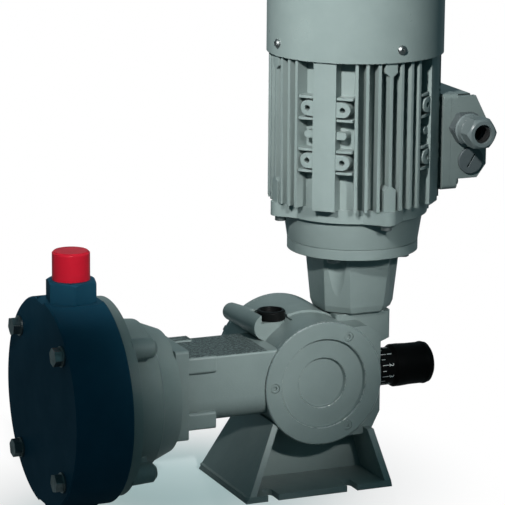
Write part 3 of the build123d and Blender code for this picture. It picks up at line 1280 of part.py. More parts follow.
def motor_housing():
    """Die-cast stator housing with fins, screw lugs, two foot pads and the terminal box pad."""
    body = cooling_fins()
    for angle in ring_angles(4, 0):
        body += tie_lug(angle, True)
        if angle > 0:
            body += tie_lug(angle, False)
    for angle in PAD_ANGLES:
        body += foot_pad(angle)
    body += block(MOTOR_X + 40, BOX_BASE_X + 5.5, BOX_Y0 + 8, BOX_Y1 - 8, BOX_Z0 + 4, BOX_Z1 - 4)
    body &= rod_z(BODY_BOTTOM, BODY_TOP, FIN_R + 0.001)
    body -= block(BOX_BASE_X + 5.5, MOTOR_X + FIN_R + 1, BOX_Y0, BOX_Y1, BOX_Z0, BOX_Z1)
    body -= rod_z(BODY_BOTTOM, BODY_TOP, BODY_BORE_R)
    body -= rod_x(MOTOR_X + 40, BOX_BASE_X + 6, 12, MOTOR_Y, (BOX_Z0 + BOX_Z1) / 2)
    for angle in ring_angles(4, 0):
        x, y = on_motor_ring(LUG_RING, angle)
        body -= rod_z(BODY_BOTTOM, BOX_Z0, 2.5 + THREAD_FIT, x, y)
    return body


def stator_core():
    """Laminated core with slots towards the rotor."""
    core = rod_z(STATOR_BOTTOM, STATOR_TOP, BODY_BORE_R - SEAT_FIT) - rod_z(STATOR_BOTTOM, STATOR_TOP, STATOR_BORE_R)
    slot = block(
        MOTOR_X + STATOR_BORE_R - 1, MOTOR_X + STATOR_BORE_R + 9, MOTOR_Y - 1.6, MOTOR_Y + 1.6, STATOR_BOTTOM, STATOR_TOP)
    for i in range(12):
        core -= turned_about_motor(slot, 30.0 * i + 15)
    return core


def winding_head(z0):
    """End turns of the stator winding as one rounded ring."""
    inner, outer = STATOR_BORE_R + 2, BODY_BORE_R - 4
    soft = 4.0
    return turned_z([
        (inner, z0), (outer, z0), (outer, z0 + WINDING_H - soft), (outer - soft, z0 + WINDING_H),
        (inner + soft, z0 + WINDING_H), (inner, z0 + WINDING_H - soft),
    ])


def stator_windings():
    lower = winding_head(STATOR_TOP)
    mirrored = mirror(lower, Plane.XY.offset((STATOR_BOTTOM + STATOR_TOP) / 2))
    return Compound([lower, mirrored])


FRONT_SEAT_Z = RING_TOP + 7
REAR_SHIELD_TOP = BODY_TOP + REAR_SHIELD_T - 4
REAR_SEAT_Z = BODY_TOP - 4


def rotor():
    """Squirrel-cage rotor with cast end rings."""
    core = rod_z(STATOR_BOTTOM - 1, STATOR_TOP + 1, ROTOR_R)
    ends = rod_z(STATOR_BOTTOM - 7, STATOR_TOP + 7, ROTOR_R - 2) - rod_z(STATOR_BOTTOM - 8, STATOR_TOP + 8, ROTOR_R - 10)
    return core + ends - rod_z(STATOR_BOTTOM - 8, STATOR_TOP + 8, 9 + SEAT_FIT)


def motor_shaft():
    """Stepped shaft from the coupling up to the fan seat."""
    low = RING_TOP - MOTOR_SHAFT_L
    front_step = FRONT_SEAT_Z + MOTOR_BEARING_W
    shaft = rod_z(low, front_step + 0.1, MOTOR_SHAFT_R) + rod_z(front_step + 0.1, REAR_SEAT_Z - 0.1, 9)
    return shaft + rod_z(REAR_SEAT_Z - 0.1, FAN_BOTTOM + 16, MOTOR_SHAFT_R)


def motor_bearings():
    bearing = ball_bearing(MOTOR_BEARING_R, MOTOR_SHAFT_R + RUN_FIT, MOTOR_BEARING_W)
    return Compound([Pos(MOTOR_X, MOTOR_Y, z) * bearing for z in (FRONT_SEAT_Z, REAR_SEAT_Z)])


def motor_rear_shield():
    """Rear end shield that closes the housing and carries the rear bearing."""
    rim = rod_z(BODY_TOP - 2, BODY_TOP + 4, CORE_R + 3)
    spigot = rod_z(BODY_TOP - 8, BODY_TOP - 2, BODY_BORE_R - SEAT_FIT)
    hub = rod_z(BODY_TOP - 8, REAR_SHIELD_TOP + 4, MOTOR_BEARING_R + 6)
    body = rim + spigot + hub - (rod_z(BODY_TOP - 8, BODY_TOP - 2, BODY_BORE_R - 5)
                                 - rod_z(BODY_TOP - 8, BODY_TOP, MOTOR_BEARING_R + 6))
    body -= rod_z(REAR_SEAT_Z, REAR_SEAT_Z + MOTOR_BEARING_W, MOTOR_BEARING_R + SEAT_FIT)
    body -= rod_z(BODY_TOP - 8, REAR_SEAT_Z, MOTOR_BEARING_R - 4)
    body -= rod_z(BODY_TOP - 8, REAR_SHIELD_TOP + 5, MOTOR_SHAFT_R + AIR_GAP)
    lug = block(MOTOR_X + CORE_R, MOTOR_X + FAN_COVER_R, MOTOR_Y - FAN_LUG_W / 2, MOTOR_Y + FAN_LUG_W / 2,
                BODY_TOP - 2, BODY_TOP + 4)
    lug &= rod_z(BODY_TOP - 2, BODY_TOP + 4, FAN_COVER_R - FAN_COVER_T - SEAT_FIT)
    lug -= rod_x(MOTOR_X + FIN_R - 9, MOTOR_X + FIN_R + 1, 2 + THREAD_FIT, MOTOR_Y, FAN_SCREW_Z)
    for angle in ring_angles(4, FAN_SCREW_TURN):
        body += turned_about_motor(lug, angle)
    return body


def fan_blade():
    """Straight radial blade that widens towards the rim."""
    outline = Polyline([
        (MOTOR_X + 11, MOTOR_Y, FAN_BOTTOM + 4), (MOTOR_X + FAN_R, MOTOR_Y, FAN_BOTTOM + 3.9),
        (MOTOR_X + FAN_R, MOTOR_Y, FAN_BOTTOM + FAN_H - 4), (MOTOR_X + 30, MOTOR_Y, FAN_BOTTOM + FAN_H),
        (MOTOR_X + 11, MOTOR_Y, FAN_BOTTOM + 16),
    ], close=True)
    return Pos(0, -1, 0) * extrude(make_face(outline), 2, dir=(0, 1, 0))


def cooling_fan():
    """Radial fan pressed on the end of the motor shaft."""
    plate = turned_z([
        (0, FAN_BOTTOM), (13, FAN_BOTTOM), (13, FAN_BOTTOM + 2), (FAN_R, FAN_BOTTOM + 2), (FAN_R, FAN_BOTTOM + 4.5),
        (13, FAN_BOTTOM + 4.5), (13, FAN_BOTTOM + 16), (0, FAN_BOTTOM + 16),
    ])
    for angle in ring_angles(FAN_BLADES, 0):
        plate += turned_about_motor(fan_blade(), angle)
    return plate - rod_z(FAN_BOTTOM, FAN_BOTTOM + 16, MOTOR_SHAFT_R + SEAT_FIT)


def grille_slots():
    """Concentric slots between straight spokes."""
    slots = None
    for radius in GRILLE_RINGS:
        ring = Circle(radius + GRILLE_SLOT_W / 2) - Circle(radius - GRILLE_SLOT_W / 2)
        slots = ring if slots is None else slots + ring
    spoke = Rectangle(FAN_COVER_R * 2, 4.0)
    for angle in (0, 45, 90, 135):
        slots -= Rot(0, 0, angle) * spoke
    slots += Circle(8) - Circle(4)
    slots -= spoke
    depth = FAN_COVER_T + 2
    return Pos(MOTOR_X, MOTOR_Y, FAN_COVER_TOP - depth) * extrude(slots, depth + 1)


def fan_cover():
    """Pressed steel cowl with a rounded shoulder and a slotted air inlet."""
    inner = FAN_COVER_R - FAN_COVER_T
    shoulder = FAN_COVER_EDGE
    shell = rod_z(FAN_COVER_BOTTOM, FAN_COVER_TOP, FAN_COVER_R)
    shell = fillet(shell.edges().filter_by(GeomType.CIRCLE).sort_by(Axis.Z)[-1:], shoulder)
    hollow = rod_z(FAN_COVER_BOTTOM, FAN_COVER_TOP - FAN_COVER_T, inner)
    hollow = fillet(hollow.edges().filter_by(GeomType.CIRCLE).sort_by(Axis.Z)[-1:], shoulder - FAN_COVER_T)
    shell = shell - hollow - grille_slots()
    for angle in ring_angles(4, FAN_SCREW_TURN):
        shell -= turned_about_motor(rod_x(MOTOR_X + inner - 2, MOTOR_X + FAN_COVER_R + 1, 2.3, MOTOR_Y, FAN_SCREW_Z), angle)
    return shell


def fan_cover_screws():
    """Pan head screws with cross recesses."""
    head = turned([(0, 0), (3.6, 0), (3.6, 0.9), (2.4, 2.1), (0, 2.4)])
    for angle in (0, 90):
        head -= Rot(0, 0, angle) * Pos(0, 0, 2.0) * Box(3.6, 0.8, 1.6)
    screw = head + Pos(0, 0, -8) * Cylinder(2, 8, align=CENTRED)
    screws = []
    for angle in ring_angles(4, FAN_SCREW_TURN):
        placed = Pos(MOTOR_X + FAN_COVER_R, MOTOR_Y, FAN_SCREW_Z) * Rot(0, 90, 0) * screw
        screws.append(turned_about_motor(placed, angle))
    return Compound(screws)


# ================================================================ terminal box
def terminal_box_base():
    """Shallow tray cast for the side of the motor."""
    x0, x1 = BOX_BASE_X + 5.5, BOX_SEAM_X
    tray = block(x0, x1, BOX_Y0, BOX_Y1, BOX_Z0, BOX_Z1)
    tray = fillet(tray.edges().filter_by(Axis.X), 4)
    tray -= block(x0 + BOX_WALL, x1, BOX_Y0 + BOX_WALL, BOX_Y1 - BOX_WALL, BOX_Z0 + BOX_WALL, BOX_Z1 - BOX_WALL) - box_posts(x0, x1)
    tray -= rod_x(x0, x1, 12, MOTOR_Y, (BOX_Z0 + BOX_Z1) / 2)
    for y, z in lid_screw_places():
        tray -= rod_x(x0 + 1, x1, 2 + THREAD_FIT, y, z)
    return tray


def lid_screw_places():
    """Centres of the lid screws, as (y, z)."""
    return [(y, z) for y in (BOX_Y0 + 7, BOX_Y1 - 7) for z in (BOX_Z0 + 6, BOX_Z1 - 6)]


def box_posts(x0, x1):
    posts = None
    for y, z in lid_screw_places():
        post = rod_x(x0, x1, 6, y, z)
        posts = post if posts is None else posts + post
    return posts


def lid_profile(inset):
    """Lid body seen along Y: two cut corners, shrunk by the inset."""
    x1 = LID_FACE_X - inset
    z0, z1 = LID_Z0 + inset, LID_Z1 - inset
    return Polyline([
        (LID_FLANGE_X - 6, 0, z0), (x1 - LID_LOW_CUT[0], 0, z0), (x1, 0, z0 + LID_LOW_CUT[1]),
        (x1, 0, z1 - LID_TOP_CUT[1]), (x1 - LID_TOP_CUT[0], 0, z1), (LID_FLANGE_X - 6, 0, z1),
    ], close=True)


def terminal_box_lid():
    """Lid with a flat rim, sloped corners, a cable entry and a closed entry."""
    rim = block(BOX_SEAM_X, LID_FLANGE_X, BOX_Y0, BOX_Y1, BOX_Z0, BOX_Z1)
    rim = fillet(rim.edges().filter_by(Axis.X), 4)
    depth = BOX_Y1 - BOX_Y0
    body = Pos(0, BOX_Y1, 0) * extrude(make_face(lid_profile(0)), depth, dir=(0, -1, 0))
    body &= block(LID_FLANGE_X - 1, LID_FACE_X, BOX_Y0, BOX_Y1, BOX_Z0, BOX_Z1)
    hollow = Pos(0, BOX_Y1 - BOX_WALL, 0) * extrude(make_face(lid_profile(BOX_WALL)), depth - 2 * BOX_WALL, dir=(0, -1, 0))
    hollow &= block(BOX_SEAM_X, LID_FACE_X, BOX_Y0, BOX_Y1, BOX_Z0, BOX_Z1)
    lid = rim + body - hollow
    lid -= rod_y(BOX_Y0, BOX_Y0 + BOX_WALL, GLAND_THREAD_R + SEAT_FIT, GLAND_X, GLAND_Z)
    lid -= rod_y(BOX_Y0, BOX_Y0 + BOX_WALL, BLIND_R - 1 + SEAT_FIT, BLIND_X, BLIND_Z)
    for y, z in lid_screw_places():
        lid -= rod_x(BOX_SEAM_X, LID_FLANGE_X, 2.4, y, z)
        lid -= rod_x(LID_FLANGE_X, LID_FACE_X, 5, y, z)
    return lid


def lid_screws():
    """Cylinder head screws in the corners of the lid."""
    screw = socket_screw(2, LID_FLANGE_X - BOX_SEAM_X + 5, 3.6, 3)
    return Compound([Pos(LID_FLANGE_X, y, z) * Rot(0, 90, 0) * screw for y, z in lid_screw_places()])


def terminal_board():
    """Moulded block with six terminal studs."""
    x0 = BOX_BASE_X + 5.5 + BOX_WALL
    middle = (BOX_Z0 + BOX_Z1) / 2
    board = block(x0, x0 + 8, MOTOR_Y - 26, MOTOR_Y + 26, middle - 19, middle + 19)
    for y in (-15, 0, 15):
        for z in (-9, 9):
            board += rod_x(x0 + 8, x0 + 16, 2, MOTOR_Y + y, middle + z)
            board += rod_x(x0 + 8, x0 + 11, 4, MOTOR_Y + y, middle + z)
    return board


def cable_gland():
    """Gland body: hexagon, thread into the lid and the seat of the dome nut."""
    y0 = BOX_Y0
    collar = Rot(90, 0, 0) * hex_prism(GLAND_AF, 8)
    collar &= rod_y(-9, 1, GLAND_AF * 0.56, 0, 0)
    body = Pos(GLAND_X, y0, GLAND_Z) * collar
    body += rod_y(y0 - 17, y0, GLAND_THREAD_R - 1.5, GLAND_X, GLAND_Z)
    body += rod_y(y0, y0 + BOX_WALL + 5, GLAND_THREAD_R - THREAD_FIT, GLAND_X, GLAND_Z)
    return body - rod_y(y0 - 18, y0 + BOX_WALL + 6, GLAND_BORE_R, GLAND_X, GLAND_Z)


def gland_nut():
    """Clamping nut: round skirt, six flats round the mouth and a bevelled end."""
    start = BOX_Y0 - 8 - REST_GAP
    end = BOX_Y0 - GLAND_L
    nut = turned_y([
        (0, end), (GLAND_NUT_R - 1.8, end), (GLAND_NUT_R + 1.2, end + 3), (GLAND_NUT_R + 1.2, end + 13),
        (GLAND_NUT_R - 0.6, end + 16), (GLAND_NUT_R - 0.6, start - 2), (GLAND_NUT_R + 0.2, start - 1),
        (GLAND_NUT_R + 0.2, start), (0, start),
    ], GLAND_X, GLAND_Z)
    flats = Pos(GLAND_X, end + 14.5, GLAND_Z) * Rot(90, 0, 0) * hex_prism(GLAND_AF - 1, 20)
    nut &= flats + rod_y(end + 14.5, start, GLAND_NUT_R + 2, GLAND_X, GLAND_Z)
    nut -= rod_y(BOX_Y0 - 17 - REST_GAP, start, GLAND_THREAD_R - 1.5 + THREAD_FIT, GLAND_X, GLAND_Z)
    return nut - rod_y(end, start, GLAND_BORE_R + 1, GLAND_X, GLAND_Z)


def blind_plug():
    """Slotted plug in the spare cable entry."""
    plug = rod_y(BOX_Y0 - 2.2, BOX_Y0, BLIND_R, BLIND_X, BLIND_Z)
    plug = fillet(plug.edges().filter_by(GeomType.CIRCLE).sort_by(Axis.Y)[:1], 0.8)
    plug += rod_y(BOX_Y0, BOX_Y0 + BOX_WALL, BLIND_R - 1, BLIND_X, BLIND_Z)
    slot = Pos(BLIND_X, BOX_Y0 - 2.2, BLIND_Z) * Rot(0, 32, 0) * Box(1.4, 2.4, 12)
    return plug - slot


# ================================================================ output
PARTS = {
    "pump_head": pump_head,
    "head_bolts": head_bolts,
    "head_washers": head_washers,
    "diaphragm": diaphragm,
    "diaphragm_clamp_disc": diaphragm_clamp_disc,
    "diaphragm_plate": diaphragm_plate,
    "discharge_valve_body": discharge_valve_body,
    "suction_valve_body": suction_valve_body,
    "valve_seats": valve_seats,
    "valve_o_rings": valve_o_rings,
    "discharge_ball": lambda: ball(AXIS_Z + SPIGOT_END),
    "suction_ball": lambda: ball(suction_ring_top()),
    "discharge_cap": lambda: protective_cap(TOP_SEAT_Z, 1),
    "suction_cap": lambda: protective_cap(LOW_SEAT_Z, -1),
    "head_carrier": head_carrier,
    "carrier_screws": carrier_screws,
    "rod_bush": rod_bush,
    "gear_housing": gear_housing,
    "side_cover": side_cover,
    "side_cover_screws": side_cover_screws,
    "rear_cover": rear_cover,
    "rear_cover_screws": rear_cover_screws,
    "drain_plug": drain_plug,
    "filler_plug": filler_plug,
    "push_rod": push_rod,
    "yoke": yoke,
    "return_spring": return_spring,
    "eccentric_shaft": eccentric_shaft,
    "eccentric_ring": eccentric_ring,
    "eccentric_bearings": eccentric_bearings,
    "worm_wheel": worm_wheel,
    "worm_shaft": worm_shaft,
    "worm_bearings": worm_bearings,
    "shaft_coupling": shaft_coupling,
    "stop_pin": stop_pin,
    "adjusting_screw": adjusting_screw,
    "scale_sleeve": scale_sleeve,
    "stroke_knob": stroke_knob,
    "motor_adapter": motor_adapter,
    "adapter_screws": adapter_screws,
    "motor_flange_bolts": motor_flange_bolts,
    "motor_front_shield": motor_front_shield,
    "front_shield_bolts": front_shield_bolts,
    "motor_housing": motor_housing,
    "stator_core": stator_core,
    "stator_windings": stator_windings,
    "rotor": rotor,
    "motor_shaft": motor_shaft,
    "motor_bearings": motor_bearings,
    "motor_rear_shield": motor_rear_shield,
    "cooling_fan": cooling_fan,
    "fan_cover": fan_cover,
    "fan_cover_screws": fan_cover_screws,
    "terminal_box_base": terminal_box_base,
    "terminal_box_lid": terminal_box_lid,
    "lid_screws": lid_screws,
    "terminal_board": terminal_board,
    "cable_gland": cable_gland,
    "gland_nut": gland_nut,
    "blind_plug": blind_plug,
}


def main():
    os.makedirs("parts", exist_ok=True)
    for name, make in PARTS.items():
        save(name, make())


main()
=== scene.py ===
"""Studio scene of a motor-driven diaphragm metering pump.

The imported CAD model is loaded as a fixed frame.  This script paints its pieces, adds the small
pieces that only matter to the eye, and sets up floor, lights and camera.  Lengths are in metres.
"""

import json
import logging
import math
from collections.abc import Callable, Iterable
from dataclasses import dataclass
from enum import Enum

import bpy
from mathutils import Matrix, Vector

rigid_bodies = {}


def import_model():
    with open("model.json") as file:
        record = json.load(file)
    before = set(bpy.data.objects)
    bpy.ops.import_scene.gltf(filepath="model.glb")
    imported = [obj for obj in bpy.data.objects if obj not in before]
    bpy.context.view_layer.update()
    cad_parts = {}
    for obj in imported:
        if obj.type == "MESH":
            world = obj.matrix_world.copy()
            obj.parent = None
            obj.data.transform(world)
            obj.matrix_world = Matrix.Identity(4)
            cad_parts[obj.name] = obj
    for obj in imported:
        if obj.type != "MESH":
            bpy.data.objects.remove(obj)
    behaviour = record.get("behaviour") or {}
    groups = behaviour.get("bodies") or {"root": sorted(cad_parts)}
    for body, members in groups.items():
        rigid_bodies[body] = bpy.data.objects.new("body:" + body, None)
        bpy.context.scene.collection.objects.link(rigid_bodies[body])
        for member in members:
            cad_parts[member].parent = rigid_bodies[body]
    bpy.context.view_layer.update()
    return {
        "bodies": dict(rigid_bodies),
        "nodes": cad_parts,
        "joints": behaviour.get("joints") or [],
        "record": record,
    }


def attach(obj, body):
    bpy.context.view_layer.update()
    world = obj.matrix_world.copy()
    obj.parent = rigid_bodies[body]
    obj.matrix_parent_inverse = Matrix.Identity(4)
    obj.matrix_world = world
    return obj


LOG = logging.getLogger("metering_pump")
MM = 0.001

Colour = tuple[float, float, float]
Point = tuple[float, float, float]
WHITE: Colour = (1.0, 1.0, 1.0)

AXIS_Z = 85.0 * MM
VALVE_X = -200.0 * MM
THREAD_PITCH = 1.8 * MM


class Body(Enum):
    """Rigid bodies of the pump that new pieces ride on."""

    PUMP = "pump"
    STROKE_KNOB = "stroke_knob"


# ------------------------------------------------------------------ shader building blocks
class Shader:
    """Small helper that adds and links nodes in one material or node group."""

    # Places of the mix node's sockets, which share their names between its data types.
    MIX_AMOUNT = 0
    MIX_NUMBERS = (2, 3)
    MIX_COLOURS = (6, 7)
    MIX_NUMBER_RESULT = 0
    MIX_COLOUR_RESULT = 2

    def __init__(self, tree: bpy.types.NodeTree) -> None:
        """Works on one node tree.

        Args:
            tree: node tree of a material, a world or a group.
        """
        self.tree = tree

    def add(self, kind: str, **values: object) -> bpy.types.Node:
        """Adds a node and sets plain attributes on it.

        Args:
            kind: Blender's node type name.
            values: attributes of the node.

        Returns:
            The new node.
        """
        node = self.tree.nodes.new(kind)
        for name, value in values.items():
            setattr(node, name, value)
        return node

    def link(self, source: bpy.types.NodeSocket, target: bpy.types.NodeSocket) -> None:
        """Joins an output to an input."""
        self.tree.links.new(source, target)

    def feed(self, target: bpy.types.NodeSocket, value: object) -> None:
        """Sets an input to a number, a colour or another node's output.

        Args:
            target: input socket.
            value: number, tuple or output socket.
        """
        if isinstance(value, bpy.types.NodeSocket):
            self.link(value, target)
        else:
            target.default_value = value

    def object_point(self) -> bpy.types.NodeSocket:
        """Position on the piece, in its own metres."""
        return self.add("ShaderNodeTexCoord").outputs["Object"]

    def math(self, operation: str, *inputs: object) -> bpy.types.NodeSocket:
        """Adds one arithmetic step.

        Args:
            operation: name of the operation.
            inputs: numbers or sockets.

        Returns:
            The result's socket.
        """
        node = self.add("ShaderNodeMath", operation=operation)
        for socket, value in zip(node.inputs, inputs):
            self.feed(socket, value)
        return node.outputs[0]

    def noise(self, scale: object, detail: float = 3.0, roughness: float = 0.5) -> bpy.types.NodeSocket:
        """Adds a noise texture on object coordinates.

        Args:
            scale: cells per metre.
            detail: number of octaves.
            roughness: weight of the fine octaves.

        Returns:
            The noise value's socket.
        """
        node = self.add("ShaderNodeTexNoise")
        self.link(self.object_point(), node.inputs["Vector"])
        self.feed(node.inputs["Scale"], scale)
        node.inputs["Detail"].default_value = detail
        node.inputs["Roughness"].default_value = roughness
        return node.outputs["Fac"]

    def step(self, value: object, low: object, high: object) -> bpy.types.NodeSocket:
        """Smooth step from 0 at low to 1 at high.

        Args:
            value: number that is mapped.
            low: value that gives 0.
            high: value that gives 1.

        Returns:
            The result's socket.
        """
        node = self.add("ShaderNodeMapRange", interpolation_type="SMOOTHSTEP")
        self.feed(node.inputs["Value"], value)
        self.feed(node.inputs["From Min"], low)
        self.feed(node.inputs["From Max"], high)
        return node.outputs["Result"]

    def blend(self, amount: object, first: object, second: object) -> bpy.types.NodeSocket:
        """Mixes two colours.

        Args:
            amount: 0 for the first, 1 for the second.
            first: colour or socket.
            second: colour or socket.

        Returns:
            The colour's socket.
        """
        node = self.add("ShaderNodeMix", data_type="RGBA")
        self.feed(node.inputs[self.MIX_AMOUNT], amount)
        for place, colour in zip(self.MIX_COLOURS, (first, second)):
            self.feed(node.inputs[place], rgba(colour))
        return node.outputs[self.MIX_COLOUR_RESULT]

    def blend_number(self, amount: object, first: object, second: object) -> bpy.types.NodeSocket:
        """Mixes two numbers.

        Args:
            amount: 0 for the first, 1 for the second.
            first: number or socket.
            second: number or socket.

        Returns:
            The number's socket.
        """
        node = self.add("ShaderNodeMix", data_type="FLOAT")
        self.feed(node.inputs[self.MIX_AMOUNT], amount)
        for place, number in zip(self.MIX_NUMBERS, (first, second)):
            self.feed(node.inputs[place], number)
        return node.outputs[self.MIX_NUMBER_RESULT]

    def axes(self, vector: bpy.types.NodeSocket) -> bpy.types.NodeOutputs:
        """Splits a vector into X, Y and Z.

        Args:
            vector: the vector's socket.

        Returns:
            The three outputs, by name.
        """
        node = self.add("ShaderNodeSeparateXYZ")
        self.link(vector, node.inputs[0])
        return node.outputs

    def seen_directly(self, mirrored_share: object) -> bpy.types.NodeSocket:
        """How far the ray that arrives shows a surface or the sky as the camera sees it.

        Args:
            mirrored_share: share for a reflected ray.

        Returns:
            1 for camera and transmitted rays, the share for reflected ones and 0 for the rest.
        """
        rays = self.add("ShaderNodeLightPath").outputs
        mirrored = self.math("MULTIPLY", rays["Is Glossy Ray"], mirrored_share)
        seen = self.math("MAXIMUM", rays["Is Camera Ray"], mirrored)
        return self.math("MAXIMUM", seen, rays["Is Transmission Ray"])

    def group(self, tree: bpy.types.NodeTree, **values: object) -> bpy.types.NodeSocket:
        """Places a shared effect with this material's values.

        Args:
            tree: the shared node group.
            values: input names, with _ for a space, and their values.

        Returns:
            The group's first output.
        """
        node = self.add("ShaderNodeGroup", node_tree=tree)
        for name, value in values.items():
            self.feed(node.inputs[name.replace("_", " ")], value)
        return node.outputs[0]


def rgba(value: object) -> object:
    """Four-part colour for a colour socket; a socket is passed through.

    Args:
        value: colour tuple or socket.

    Returns:
        The tuple with alpha 1, or the socket.
    """
    if isinstance(value, tuple) and len(value) == 3:
        return (*value, 1.0)
    return value


class Effects:
    """Shared node groups, each built once."""

    CHIP_SPOTS = 170.0
    CHIP_START = 0.28
    CHIP_FULL = 0.36

    def __init__(self) -> None:
        """Builds every group."""
        self.mottle = self._mottle()
        self.cast_skin = self._cast_skin()
        self.ring_chips = self._ring_chips()
        self.grooves = self._grooves()

    @staticmethod
    def _start(
        name: str, inputs: dict[str, float], output: str,
    ) -> tuple[Shader, bpy.types.Node, bpy.types.Node]:
        """Makes an empty group.

        Args:
            name: name of the group.
            inputs: input names and their defaults.
            output: name of the only output.

        Returns:
            Helper on the group's tree, its input node and its output node.
        """
        tree = bpy.data.node_groups.new(name, "ShaderNodeTree")
        for label, value in inputs.items():
            socket = tree.interface.new_socket(label, in_out="INPUT", socket_type="NodeSocketFloat")
            socket.default_value = value
        tree.interface.new_socket(output, in_out="OUTPUT", socket_type="NodeSocketFloat")
        shader = Shader(tree)
        return shader, shader.add("NodeGroupInput"), shader.add("NodeGroupOutput")

    def _mottle(self) -> bpy.types.NodeTree:
        """Uneven patches between 0 and 1."""
        shader, given, result = self._start("mottle", {"Scale": 30.0, "Sharpness": 0.25}, "Value")
        cloud = shader.noise(given.outputs["Scale"], 5.0, 0.6)
        low = shader.math("SUBTRACT", 0.5, given.outputs["Sharpness"])
        high = shader.math("ADD", 0.5, given.outputs["Sharpness"])
        shader.link(shader.step(cloud, low, high), result.inputs["Value"])
        return shader.tree

    def _cast_skin(self) -> bpy.types.NodeTree:
        """Height of a cast and painted skin: fine grain over long soft waves."""
        inputs = {"Grain": 900.0, "Waves": 60.0, "Grain Share": 0.4}
        shader, given, result = self._start("cast skin", inputs, "Height")
        grain = shader.noise(given.outputs["Grain"], 2.0, 0.5)
        waves = shader.noise(given.outputs["Waves"], 2.0, 0.4)
        height = shader.blend_number(given.outputs["Grain Share"], waves, grain)
        shader.link(height, result.inputs["Height"])
        return shader.tree

    def _ring_chips(self) -> bpy.types.NodeTree:
        """Bare spots along a round edge whose axis runs along Y."""
        inputs = {"Radius": 0.05, "Width": 0.0006, "Amount": 0.5}
        shader, given, result = self._start("ring chips", inputs, "Mask")
        point = shader.axes(shader.object_point())
        height = shader.math("SUBTRACT", point["Z"], AXIS_Z)
        squares = shader.math("ADD", shader.math("POWER", point["X"], 2.0), shader.math("POWER", height, 2.0))
        reach = shader.math("SQRT", squares)
        distance = shader.math("ABSOLUTE", shader.math("SUBTRACT", reach, given.outputs["Radius"]))
        near = shader.math("SUBTRACT", 1.0, shader.step(distance, 0.0, given.outputs["Width"]))
        spots = shader.noise(self.CHIP_SPOTS, 4.0, 0.7)
        chance = shader.math("MULTIPLY", shader.math("MULTIPLY", near, spots), given.outputs["Amount"])
        shader.link(shader.step(chance, self.CHIP_START, self.CHIP_FULL), result.inputs["Mask"])
        return shader.tree

    def _grooves(self) -> bpy.types.NodeTree:
        """Height of thread grooves round a vertical axis, between two levels."""
        inputs = {"Low": 0.0, "High": 1.0, "Pitch": THREAD_PITCH}
        shader, given, result = self._start("grooves", inputs, "Height")
        point = shader.axes(shader.object_point())
        side = shader.math("SUBTRACT", point["X"], VALVE_X)
        turn = shader.math("DIVIDE", shader.math("ARCTAN2", point["Y"], side), 2 * math.pi)
        turns = shader.math("SUBTRACT", shader.math("DIVIDE", point["Z"], given.outputs["Pitch"]), turn)
        wave = shader.math("PINGPONG", turns, 0.5)
        above = shader.math("GREATER_THAN", point["Z"], given.outputs["Low"])
        below = shader.math("LESS_THAN", point["Z"], given.outputs["High"])
        inside = shader.math("MULTIPLY", above, below)
        full_wave = shader.math("MULTIPLY", wave, 2.0)
        shader.link(shader.math("MULTIPLY", full_wave, inside), result.inputs["Height"])
        return shader.tree


# ------------------------------------------------------------------ finishes
BARE_METAL: Colour = (0.62, 0.64, 0.63)
PIT_SCALE = 420.0
PIT_DEPTH = 5.0
PIT_ROUGHNESS = 0.5
BARREL_END_X = -48.0 * MM
BARREL_TOP_Z = 112.0 * MM
THREAD_DEPTH = 0.9 * MM


def new_material(name: str) -> tuple[bpy.types.Material, Shader, bpy.types.Node]:
    """Makes an empty material with one principled shader.

    Args:
        name: name of the finish.

    Returns:
        The material, a helper on its node tree, and the principled shader.
    """
    material = bpy.data.materials.new(name)
    material.use_nodes = True
    return material, Shader(material.node_tree), material.node_tree.nodes["Principled BSDF"]


def bump(
    shader: Shader, height: bpy.types.NodeSocket, distance: float, edge: float = 0.0,
) -> bpy.types.NodeSocket:
    """Normal of a fine relief, over edges softened by a small radius.

    Args:
        shader: helper of the material.
        height: relief between 0 and 1.
        distance: full height of the relief.
        edge: radius that the shading gives to sharp edges.

    Returns:
        The normal's socket.
    """
    node = shader.add("ShaderNodeBump")
    node.inputs["Strength"].default_value = 1.0
    node.inputs["Distance"].default_value = distance
    shader.link(height, node.inputs["Height"])
    if edge > 0:
        rounding = shader.add("ShaderNodeBevel", samples=4)
        rounding.inputs["Radius"].default_value = edge
        shader.link(rounding.outputs["Normal"], node.inputs["Normal"])
    return node.outputs["Normal"]


